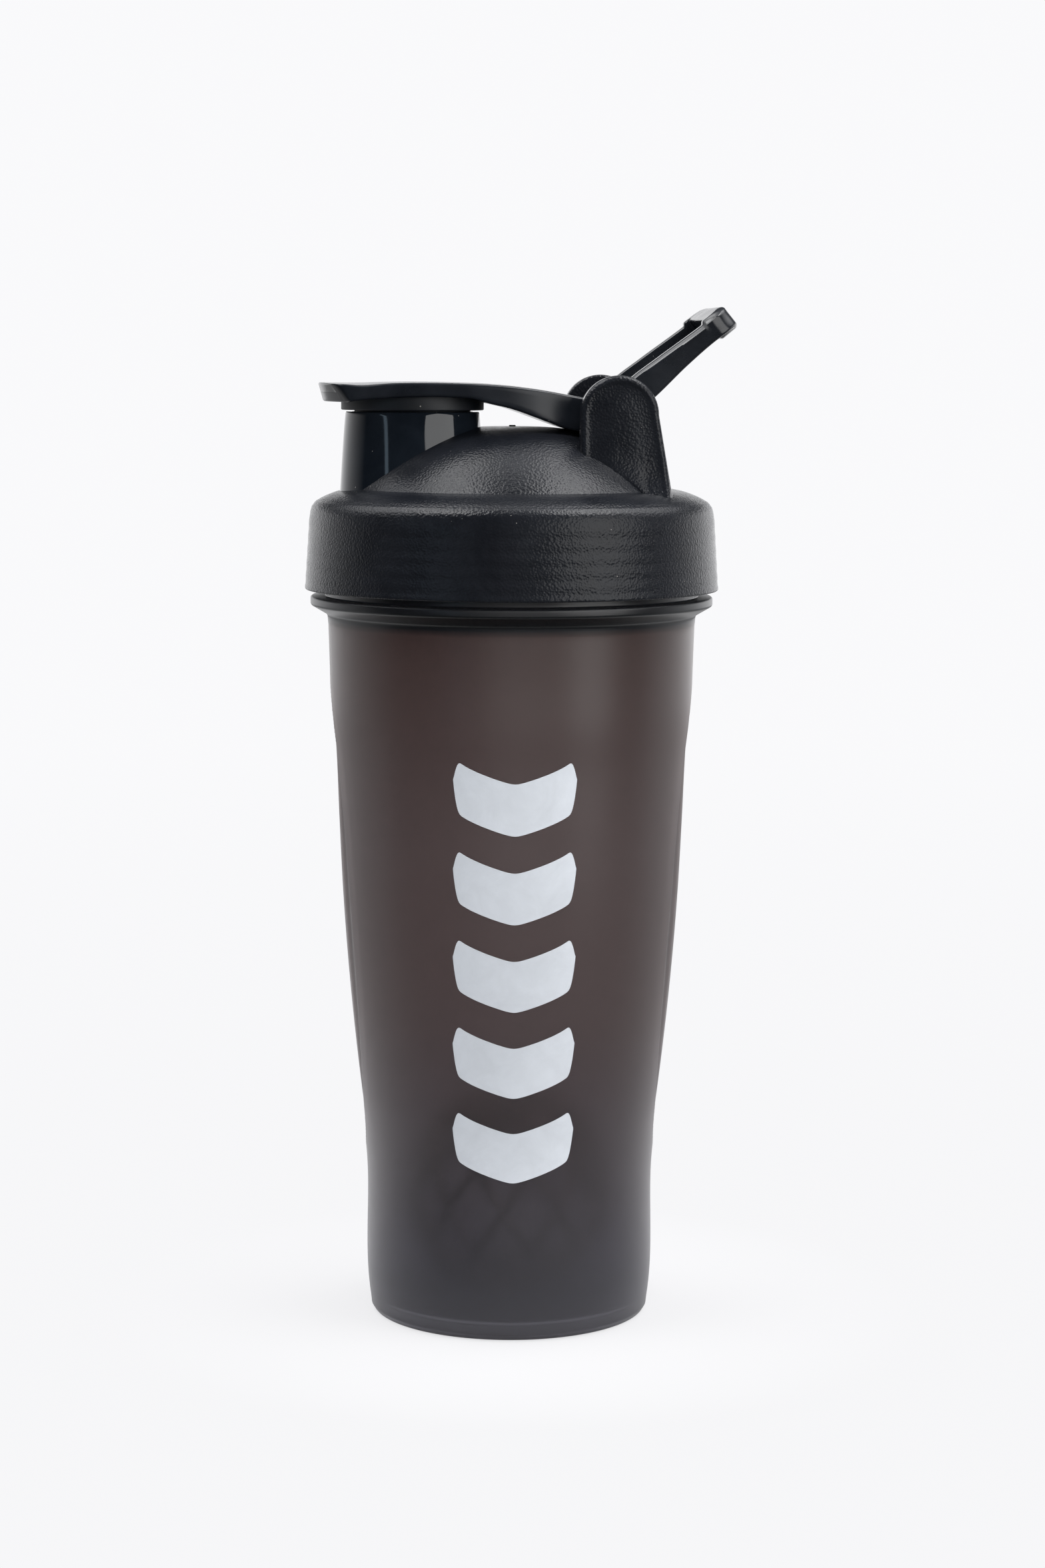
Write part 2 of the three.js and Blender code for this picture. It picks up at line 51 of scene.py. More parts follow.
log = logging.getLogger("shaker")
MM = 0.001
TAU = 2 * math.pi
CORNER_POINTS = 5
UPRIGHT_POINTS = 4
COLLAR_BELOW_RIM = 18.0
COLLAR_HEIGHT = 6.0
SPOUT_X = -23.6
BURIED = 1.6
THREAD_PITCH = 6.0
THREAD_HEIGHT = 1.3
WHITE = (1.0, 1.0, 1.0)
BACKDROP = (0.985, 0.985, 1.0)
BACKDROP_SEEN = 0.965

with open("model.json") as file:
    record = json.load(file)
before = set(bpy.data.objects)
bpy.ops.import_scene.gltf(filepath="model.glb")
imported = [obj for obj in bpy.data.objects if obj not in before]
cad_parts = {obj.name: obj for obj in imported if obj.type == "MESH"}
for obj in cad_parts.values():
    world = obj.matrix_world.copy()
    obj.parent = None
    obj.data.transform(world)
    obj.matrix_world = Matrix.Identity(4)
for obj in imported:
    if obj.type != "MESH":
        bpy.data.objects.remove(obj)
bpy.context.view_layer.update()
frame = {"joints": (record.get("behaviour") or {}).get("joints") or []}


# ---------------------------------------------------------------- shapes as arrays


def smooth_line(at: Array, places: list[float], values: list[float]) -> Array:
    """A smooth curve through given points: on each span a cubic whose end slopes are centred differences.

    Args:
        at: where the curve is wanted.
        places: the points' positions, rising.
        values: the points' heights.

    Returns:
        The curve's height at every position; it stays level beyond both ends.
    """
    xs, ys = np.asarray(places, float), np.asarray(values, float)
    slope = np.gradient(ys, xs)
    x = np.clip(at, xs[0], xs[-1])
    i = np.clip(np.searchsorted(xs, x) - 1, 0, len(xs) - 2)
    span = xs[i + 1] - xs[i]
    t = (x - xs[i]) / span
    return (
        ys[i] * (1 + 2 * t) * (1 - t) ** 2
        + ys[i + 1] * t**2 * (3 - 2 * t)
        + span * (slope[i] * t * (1 - t) ** 2 + slope[i + 1] * t**2 * (t - 1))
    )


def ramp(x: Array, low: float, high: float) -> Array:
    """A cubic ease from 0 to 1.

    Args:
        x: where it is wanted.
        low: where it leaves 0.
        high: where it reaches 1.

    Returns:
        The eased values.
    """
    t = np.clip((x - low) / (high - low), 0, 1)
    return t * t * (3 - 2 * t)


def rounded(corners: list[Corner], step: float = 0.5, closed: bool = True) -> Array:
    """A polygon with rounded corners as evenly stepped points.

    At each corner two tangent points stand radius * tan(half the turn) from it and a quadratic
    arc joins them; the straight runs between are divided into steps.

    Args:
        corners: (x, y, radius) of each corner in order.
        step: longest distance between points, in the corners' own unit.
        closed: whether the last corner joins the first.

    Returns:
        Points as an (n, 2) array.
    """
    p = np.array([c[:2] for c in corners], float)
    n = len(p)
    pieces: list[Array] = []
    for i, (x, y, radius) in enumerate(corners):
        here, before, after = p[i], p[i - 1], p[(i + 1) % n]
        if radius <= 0 or (not closed and i in (0, n - 1)):
            pieces.append(here[None])
            continue
        a, b = before - here, after - here
        la, lb = np.hypot(*a), np.hypot(*b)
        a, b = a / la, b / lb
        turn = math.pi - math.acos(float(np.clip(a @ b, -1, 1)))
        reach = min(radius * math.tan(turn / 2), 0.49 * la, 0.49 * lb)
        t = np.linspace(0, 1, 7)[:, None]
        start, end = here + a * reach, here + b * reach
        pieces.append((1 - t) ** 2 * start + 2 * t * (1 - t) * here + t**2 * end)
    made: list[Array] = []
    for i, piece in enumerate(pieces):
        made.append(piece)
        if not closed and i == n - 1:
            break
        start, end = piece[-1], pieces[(i + 1) % n][0]
        count = int(np.hypot(*(end - start)) // step)
        if count:
            made.append(start + (end - start) * (np.arange(1, count + 1) / (count + 1))[:, None])
    return np.concatenate(made)


def lathe(profile: Array, angles: Array, centre_x: float = 0.0) -> Array:
    """Turns a profile of (radius, height) about a vertical axis at x = centre_x, y = 0.

    Args:
        profile: (n, 2) radii and heights.
        angles: m angles from +X.
        centre_x: where the axis stands.

    Returns:
        An (n, m, 3) grid of points.
    """
    r, z = profile[:, :1], profile[:, 1:]
    return np.stack([centre_x + r * np.cos(angles), r * np.sin(angles), z + 0 * angles], -1)


def turns(count: int) -> Array:
    """Evenly spaced angles once round, without repeating the first.

    Args:
        count: how many.

    Returns:
        The angles in radians.
    """
    return np.arange(count) * TAU / count


def thread_ridge(distance: Array) -> Array:
    """A screw thread's trapezoid section.

    Args:
        distance: millimetres along the axis from the crest's middle.

    Returns:
        1 on the crest, 0 off the thread.
    """
    return np.clip((1.1 - np.abs(distance)) / 0.6, 0, 1)


def box_loop(half_width: Array, half_height: Array, radius: Array, side: int) -> tuple[Array, Array]:
    """A rounded rectangle for each row: four quarter circles joined by straight runs.

    Args:
        half_width: half of each row's width.
        half_height: half of each row's height.
        radius: each row's corner radius.
        side: points between two corners on the wide sides.

    Returns:
        Across and up coordinates, each (rows, points), starting at the right and going up.
    """
    theta = np.linspace(0, math.pi / 2, CORNER_POINTS)
    along = np.arange(1, side + 1) / (side + 1)
    upright = np.arange(1, UPRIGHT_POINTS + 1) / (UPRIGHT_POINTS + 1)
    across: list[Array] = []
    up: list[Array] = []
    w, h = half_width[:, None], half_height[:, None]
    r = np.minimum(radius[:, None], np.minimum(w, h) * 0.999)
    inner_w, inner_h = w - r, h - r
    for quarter, (sx, sy) in enumerate(((1, 1), (-1, 1), (-1, -1), (1, -1))):
        angle = theta + quarter * math.pi / 2
        across.append(sx * inner_w + r * np.cos(angle))
        up.append(sy * inner_h + r * np.sin(angle))
        if quarter in (0, 2):
            across.append(sx * inner_w * (1 - 2 * along))
            up.append(sy * h + 0 * along)
        else:
            across.append(sx * w + 0 * upright)
            up.append(sy * inner_h * (1 - 2 * upright))
    return np.concatenate(across, 1), np.concatenate(up, 1)


@dataclass
class Surface:
    """A closed surface on a grid of points, in millimetres.

    The columns always wrap. The rows wrap too, or each end row is closed with a pole at its middle.
    """

    points: Array
    rows_wrap: bool = False

    def arrays(self) -> tuple[Array, Indices, Indices]:
        """Lists the mesh's parts, turned round if the volume they enclose is negative.

        Returns:
            Vertices, quads and end triangles.
        """
        rows, cols = self.points.shape[:2]
        vertices = self.points.reshape(-1, 3)
        r = np.arange(rows if self.rows_wrap else rows - 1)[:, None]
        c = np.arange(cols)[None]
        r2, c2 = (r + 1) % rows, (c + 1) % cols
        quads = np.stack([r * cols + c, r * cols + c2, r2 * cols + c2, r2 * cols + c], -1).reshape(-1, 4)
        tris = np.zeros((0, 3), int)
        if not self.rows_wrap:
            ring = np.arange(cols)
            following = (ring + 1) % cols
            last = (rows - 1) * cols
            first_pole, last_pole = len(vertices), len(vertices) + 1
            vertices = np.vstack([vertices, self.points[0].mean(0), self.points[-1].mean(0)])
            tris = np.vstack(
                [
                    np.stack([following, ring, ring * 0 + first_pole], -1),
                    np.stack([last + ring, last + following, ring * 0 + last_pole], -1),
                ]
            )
        every = np.vstack([quads[:, [0, 1, 2]], quads[:, [0, 2, 3]], tris])
        a, b, d = (vertices[every[:, k]] for k in range(3))
        if np.einsum("ij,ij->i", a, np.cross(b, d)).sum() < 0:
            quads, tris = quads[:, ::-1], tris[:, ::-1]
        return vertices, quads, tris


def make_piece(name: str, surfaces: list[Surface], sharp_degrees: float = 40.0) -> bpy.types.Object:
    """Puts closed surfaces into one mesh object, smooth shaded but for sharp edges.

    Args:
        name: the object's name.
        surfaces: the closed surfaces that make it up.
        sharp_degrees: edges that turn more than this stay sharp.

    Returns:
        The new object, at the origin, its place in its mesh.
    """
    vertices: list[Array] = []
    loops: list[Indices] = []
    sizes: list[Indices] = []
    count = 0
    for surface in surfaces:
        v, quads, tris = surface.arrays()
        loops += [(quads + count).ravel(), (tris + count).ravel()]
        sizes += [np.full(len(quads), 4), np.full(len(tris), 3)]
        vertices.append(v)
        count += len(v)
    corner, size = np.concatenate(loops), np.concatenate(sizes)
    mesh = bpy.data.meshes.new(name)
    mesh.vertices.add(count)
    mesh.vertices.foreach_set("co", (np.vstack(vertices) * MM).ravel())
    mesh.loops.add(len(corner))
    mesh.loops.foreach_set("vertex_index", corner.astype(np.int32))
    mesh.polygons.add(len(size))
    mesh.polygons.foreach_set("loop_start", np.concatenate([[0], np.cumsum(size)[:-1]]).astype(np.int32))
    mesh.polygons.foreach_set("loop_total", size.astype(np.int32))
    mesh.update(calc_edges=True)
    mesh.validate()
    mesh.shade_smooth()
    mesh.set_sharp_from_angle(angle=math.radians(sharp_degrees))
    made = bpy.data.objects.new(name, mesh)
    bpy.context.scene.collection.objects.link(made)
    return made


class Stand(Enum):
    """What a piece stands for: the body it rides on, the CAD node it replaces and its slot."""

    CUP = ("cup", "cup", "cup_plastic")
    BALL = ("ball", "whisk_ball", "whisk_wire")
    GASKET = ("gasket", "lid_gasket", "gasket_rubber")
    LID = ("lid", "lid", "lid_plastic")
    CAP = ("cap", "flip_cap", "cap_plastic")
    LOOP = ("loop", "carry_loop", "loop_plastic")


def settle(piece: bpy.types.Object, stand: Stand, material: Material) -> None:
    """Dresses a piece, makes it ride on its body and stand for its CAD node.

    Args:
        piece: the finished object.
        stand: its body, node and slot.
        material: its material.
    """
    body, node, slot = stand.value
    piece.data.materials.clear()
    piece.data.materials.append(material)
    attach(piece, body)
    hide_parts(node)
    log.info("%s: %d faces on %s", piece.name, len(piece.data.polygons), body)


# ---------------------------------------------------------------- sizes taken from the frame


@dataclass
class FrameMeasures:
    """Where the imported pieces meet, in millimetres."""

    rim: float
    skirt_bottom: float
    skirt_radius: float
    hinge_x: float
    hinge_z: float
    collar_top: float
    ball_middle: float
    gasket_low: float

    @classmethod
    def read(cls) -> "FrameMeasures":
        """Takes the measures from the nodes' boxes and from the hinge joint.

        Returns:
            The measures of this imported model.
        """
        cup_low, cup_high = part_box("cup")
        lid_low, lid_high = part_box("lid")
        ball_low, ball_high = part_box("whisk_ball")
        gasket_low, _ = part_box("lid_gasket")
        joints = {joint["name"]: joint for joint in frame["joints"]}
        hinge = joints["cap_flip"]["pos_m"]
        rim = cup_high.z / MM
        return cls(
            rim=rim,
            skirt_bottom=lid_low.z / MM,
            skirt_radius=lid_high.y / MM,
            hinge_x=hinge[0] / MM,
            hinge_z=hinge[2] / MM,
            collar_top=rim - COLLAR_BELOW_RIM,
            ball_middle=(ball_low.z + ball_high.z) / 2 / MM,
            gasket_low=gasket_low.z / MM,
        )


# ---------------------------------------------------------------- shader groups


class NodeGraph:
    """A thin hand for adding and wiring shader nodes in one tree."""

    def __init__(self, tree: bpy.types.NodeTree) -> None:
        """Keeps the tree.

        Args:
            tree: where the nodes go.
        """
        self.tree = tree

    def add(self, kind: str, **settings: object) -> bpy.types.Node:
        """Adds a node; settings are its properties, or input values when the name is an input's.

        Args:
            kind: the node's type name.
            settings: properties by name; spaces in an input's name are written as underscores.

        Returns:
            The new node.
        """
        node = self.tree.nodes.new(kind)
        for key, value in settings.items():
            label = key.replace("_", " ")
            if label in node.inputs:
                node.inputs[label].default_value = value
            else:
                setattr(node, key, value)
        return node

    def wire(self, source: Value | Colour, target: Socket) -> None:
        """Feeds an input.

        Args:
            source: an output to join it to, or the number or colour it holds.
            target: the input.
        """
        if isinstance(source, Socket):
            self.tree.links.new(source, target)
        else:
            target.default_value = (*source, 1.0) if isinstance(source, tuple) else source

    def math(self, operation: str, first: Value, second: Value = 0.5, clamp: bool = False) -> Socket:
        """A math node.

        Args:
            operation: the node's operation.
            first: a socket or a number.
            second: a socket or a number.
            clamp: whether the result is held between 0 and 1.

        Returns:
            The result's socket.
        """
        node = self.add("ShaderNodeMath", operation=operation, use_clamp=clamp)
        self.wire(first, node.inputs[0])
        self.wire(second, node.inputs[1])
        return node.outputs[0]

    def blend(self, share: Value, first: Socket | Colour, second: Socket | Colour) -> Socket:
        """Mixes two colours.

        Args:
            share: how much of the second.
            first: a socket or an RGB triple.
            second: a socket or an RGB triple.

        Returns:
            The mixed colour's socket.
        """
        node = self.add("ShaderNodeMix", data_type="RGBA")
        for index, value in ((0, share), (6, first), (7, second)):
            self.wire(value, node.inputs[index])
        return node.outputs[2]

    def spread(self, value: Socket, start: float, end: float, low: float = 0.0, high: float = 1.0) -> Socket:
        """Maps a range onto another, held at both ends.

        Args:
            value: what is mapped.
            start: where its range starts.
            end: where its range ends.
            low: the result at start.
            high: the result at end.

        Returns:
            The mapped value's socket.
        """
        node = self.add("ShaderNodeMapRange")
        for socket, given in zip(node.inputs, (value, start, end, low, high)):
            self.wire(given, socket)
        return node.outputs[0]

    def effect(self, group: bpy.types.NodeTree, **values: float) -> Socket:
        """Adds a shared effect.

        Args:
            group: the effect's node group.
            values: its inputs by name.

        Returns:
            The effect's output.
        """
        return self.add("ShaderNodeGroup", node_tree=group, **values).outputs[0]

    def place(self, kind: str = "Object") -> Socket:
        """The coordinates of what is being shaded.

        Args:
            kind: which coordinates.

        Returns:
            Their socket.
        """
        return self.add("ShaderNodeTexCoord").outputs[kind]

    def axes(self, place: Socket) -> dict[str, Socket]:
        """Splits coordinates.

        Args:
            place: the coordinates.

        Returns:
            The sockets of X, Y and Z by name.
        """
        node = self.add("ShaderNodeSeparateXYZ")
        self.wire(place, node.inputs[0])
        return dict(node.outputs.items())

    def bump(self, height: Socket, strength: float, depth_mm: float) -> Socket:
        """Turns a height into a disturbed normal.

        Args:
            height: the height from 0 to 1.
            strength: how much of it counts.
            depth_mm: what 1 is in millimetres.

        Returns:
            The normal's socket.
        """
        node = self.add("ShaderNodeBump", Strength=strength, Distance=depth_mm * MM)
        self.wire(height, node.inputs["Height"])
        return node.outputs[0]

    def by_ray(self, seen: Value, other: Socket) -> Socket:
        """One value for the camera's own rays and another for every other ray.

        Args:
            seen: the value that the camera sees.
            other: the value that lights and mirror images see.

        Returns:
            The chosen value's socket.
        """
        camera = self.add("ShaderNodeLightPath").outputs["Is Camera Ray"]
        return self.math("ADD", other, self.math("MULTIPLY", camera, self.math("SUBTRACT", seen, other)))


class EffectGroups:
    """Effects that several materials share, each a node group on Object coordinates."""

    def __init__(self) -> None:
        """Builds every group once."""
        self.grain = self.mould_grain()
        self.dust = self.dust_specks()
        self.wear = self.handling_wear()

    def start(
        self, name: str, values: dict[str, float], out: str
    ) -> tuple[NodeGraph, dict[str, Socket], Socket]:
        """Opens a group with float inputs and one float output.

        Args:
            name: the group's name.
            values: the inputs' names and defaults.
            out: the output's name.

        Returns:
            The graph, its inputs by name and the socket its result goes to.
        """
        tree = bpy.data.node_groups.new(name, "ShaderNodeTree")
        for label, default in values.items():
            socket = tree.interface.new_socket(label, in_out="INPUT", socket_type="NodeSocketFloat")
            socket.default_value = default
        tree.interface.new_socket(out, in_out="OUTPUT", socket_type="NodeSocketFloat")
        graph = NodeGraph(tree)
        given = dict(graph.add("NodeGroupInput").outputs.items())
        return graph, given, graph.add("NodeGroupOutput").inputs[0]

    def mould_grain(self) -> bpy.types.NodeTree:
        """Spark-eroded mould grain: soft pits of one size with finer noise between them.

        Returns:
            A group that puts out Height from 0 to 1; Density is grains per metre.
        """
        graph, given, result = self.start("mould_grain", {"Density": 2600.0, "Fine": 0.35}, "Height")
        place = graph.place()
        pits = graph.add("ShaderNodeTexVoronoi", feature="SMOOTH_F1", Smoothness=0.6, Randomness=1.0)
        fine = graph.add("ShaderNodeTexNoise", Detail=2.0, Roughness=0.6)
        graph.wire(place, pits.inputs["Vector"])
        graph.wire(place, fine.inputs["Vector"])
        graph.wire(given["Density"], pits.inputs["Scale"])
        graph.wire(graph.math("MULTIPLY", given["Density"], 1.9), fine.inputs["Scale"])
        small = graph.math("MULTIPLY", fine.outputs[0], given["Fine"])
        graph.wire(graph.math("ADD", pits.outputs["Distance"], small), result)
        return graph.tree

    def dust_specks(self) -> bpy.types.NodeTree:
        """Sparse pale dust: the hearts of random cells, thinned by a slow noise.

        Returns:
            A group that puts out Mask; Density is cells per metre and Size the specks' share of a cell.
        """
        graph, given, result = self.start("dust_specks", {"Density": 420.0, "Size": 0.1}, "Mask")
        place = graph.place()
        cells = graph.add("ShaderNodeTexVoronoi", feature="F1", Randomness=1.0)
        slow = graph.add("ShaderNodeTexNoise", Scale=90.0, Detail=3.0, Roughness=0.7)
        graph.wire(place, cells.inputs["Vector"])
        graph.wire(place, slow.inputs["Vector"])
        graph.wire(given["Density"], cells.inputs["Scale"])
        near = graph.math("LESS_THAN", cells.outputs["Distance"], given["Size"])
        some = graph.math("GREATER_THAN", slow.outputs[0], 0.56)
        graph.wire(graph.math("MULTIPLY", near, some), result)
        return graph.tree

    def handling_wear(self) -> bpy.types.NodeTree:
        """Uneven polish from handling: broad smudges broken up by finer ones.

        Returns:
            A group that puts out Mask from 0 to 1; Density is smudges per metre.
        """
        graph, given, result = self.start("handling_wear", {"Density": 60.0}, "Mask")
        broad = graph.add("ShaderNodeTexNoise", Detail=5.0, Roughness=0.65, Distortion=0.4)
        graph.wire(graph.place(), broad.inputs["Vector"])
        graph.wire(given["Density"], broad.inputs["Scale"])
        graph.wire(graph.spread(broad.outputs[0], 0.35, 0.7), result)
        return graph.tree


# ---------------------------------------------------------------- finishes


@dataclass(frozen=True)
class Finish:
    """A finish: the name of its material and the way its shader is wired."""

    name: str

    def make(self, groups: EffectGroups) -> Material:
        """Builds the material.

        Args:
            groups: the shared effects.

        Returns:
            The material.
        """
        material = bpy.data.materials.new(self.name)
        material.use_nodes = True
        graph = NodeGraph(material.node_tree)
        self.dress(graph, material.node_tree.nodes["Principled BSDF"].inputs, groups)
        return material

    def dress(self, graph: NodeGraph, shader: Inputs, groups: EffectGroups) -> None:
        """Wires the shader; each finish does it its own way.

        Args:
            graph: the material's graph.
            shader: the shader's inputs.
            groups: the shared effects.
        """
        raise NotImplementedError


@dataclass(frozen=True)
class BlackPlastic(Finish):
    """Black moulded plastic: a dark body under a coat of mould grain, dust and handling marks."""

    colour: Colour = (0.008, 0.0092, 0.0122)
    roughness: float = 0.3
    wear: float = 0.08
    grain_density: float = 2600.0
    grain_depth_mm: float = 0.03
    dust_size: float = 0.075
    dust_density: float = 420.0
    dust_colour: Colour = (0.42, 0.40, 0.37)
    specular: float = 0.5

    def dress(self, graph: NodeGraph, shader: Inputs, groups: EffectGroups) -> None:
        """Wires body, dust, wear and grain.

        Args:
            graph: the material's graph.
            shader: the shader's inputs.
            groups: the shared effects.
        """
        dust = graph.effect(groups.dust, Density=self.dust_density, Size=self.dust_size)
        wear = graph.effect(groups.wear, Density=70.0)
        grain = graph.effect(groups.grain, Density=self.grain_density, Fine=0.35)
        worn = tuple(c * 1.5 + 0.002 for c in self.colour)
        body = graph.blend(wear, self.colour, worn)
        dusty = graph.blend(graph.math("MULTIPLY", dust, 0.55), body, self.dust_colour)
        rough = graph.spread(wear, 0.0, 1.0, self.roughness, self.roughness + self.wear)
        rougher = graph.math("ADD", rough, graph.math("MULTIPLY", dust, 0.4), clamp=True)
        graph.wire(1.49, shader["IOR"])
        graph.wire(self.specular, shader["Specular IOR Level"])
        graph.wire(dusty, shader["Base Color"])
        graph.wire(rougher, shader["Roughness"])
        graph.wire(graph.bump(grain, 1.0, self.grain_depth_mm), shader["Normal"])


@dataclass(frozen=True)
class SmokyPlastic(Finish):
    """The cup's smoke-tinted plastic, cooler towards the foot, with painted shade under the lid: darker
    towards the neck and nearly black from the collar up.

    Heights are metres above the floor; each range is where one tint gives way to the next.
    """

    collar_shade_from: float
    foot_range: tuple[float, float] = (0.01, 0.075)
    neck_shade_range: tuple[float, float] = (0.115, 0.165)
    # painted shade under the lid: over this range the tint darkens towards the neck
    collar_shade_blur: float = 0.0008
    neck: Colour = (0.195, 0.146, 0.14)
    middle: Colour = (0.265, 0.22, 0.22)
    foot: Colour = (0.2, 0.196, 0.23)
    # painted shade under the lid skirt: the cup turns nearly black from the collar up
    collar: Colour = (0.03, 0.036, 0.046)
    roughness: float = 0.3

    def dress(self, graph: NodeGraph, shader: Inputs, groups: EffectGroups) -> None:
        """Wires the tints by height, the painted shade under the lid, the wear and a faint grain.

        Args:
            graph: the material's graph.
            shader: the shader's inputs.
            groups: the shared effects.
        """
        height = graph.axes(graph.place())["Z"]
        lower = graph.blend(graph.spread(height, *self.foot_range), self.foot, self.middle)
        # painted shade under the lid: darker towards the neck
        body = graph.blend(graph.spread(height, *self.neck_shade_range), lower, self.neck)
        blur = self.collar_shade_blur
        # painted shade under the lid skirt: nearly black from the collar up
        collar_shade = graph.spread(height, self.collar_shade_from - blur, self.collar_shade_from + blur)
        wear = graph.effect(groups.wear, Density=25.0)
        grain = graph.effect(groups.grain, Density=1500.0, Fine=0.5)
        graph.wire(1.49, shader["IOR"])
        graph.wire(0.25, shader["Specular IOR Level"])
        graph.wire(0.9, shader["Transmission Weight"])
        graph.wire(graph.blend(collar_shade, body, self.collar), shader["Base Color"])
        rough = graph.spread(wear, 0.0, 1.0, self.roughness, self.roughness + 0.03)
        graph.wire(rough, shader["Roughness"])
        graph.wire(graph.bump(grain, 0.5, 0.004), shader["Normal"])


@dataclass(frozen=True)
class WornTint(Finish):
    """A plain skin between two tints: pale screen-printed ink, or drawn stainless wire."""

    density: float
    fresh: Colour
    rubbed: Colour
    roughness: tuple[float, float]
    metallic: float = 0.0

    def dress(self, graph: NodeGraph, shader: Inputs, groups: EffectGroups) -> None:
        """Wires both tints and the roughness to the wear.

        Args:
            graph: the material's graph.
            shader: the shader's inputs.
            groups: the shared effects.
        """
        wear = graph.effect(groups.wear, Density=self.density)
        graph.wire(self.metallic, shader["Metallic"])
        graph.wire(graph.blend(wear, self.fresh, self.rubbed), shader["Base Color"])
        graph.wire(graph.spread(wear, 0.0, 1.0, *self.roughness), shader["Roughness"])


# ---------------------------------------------------------------- the cup


class PrintShape(Enum):
    """The generic marks the print can be made of."""

    CHEVRON = "chevron"
    BAR = "bar"


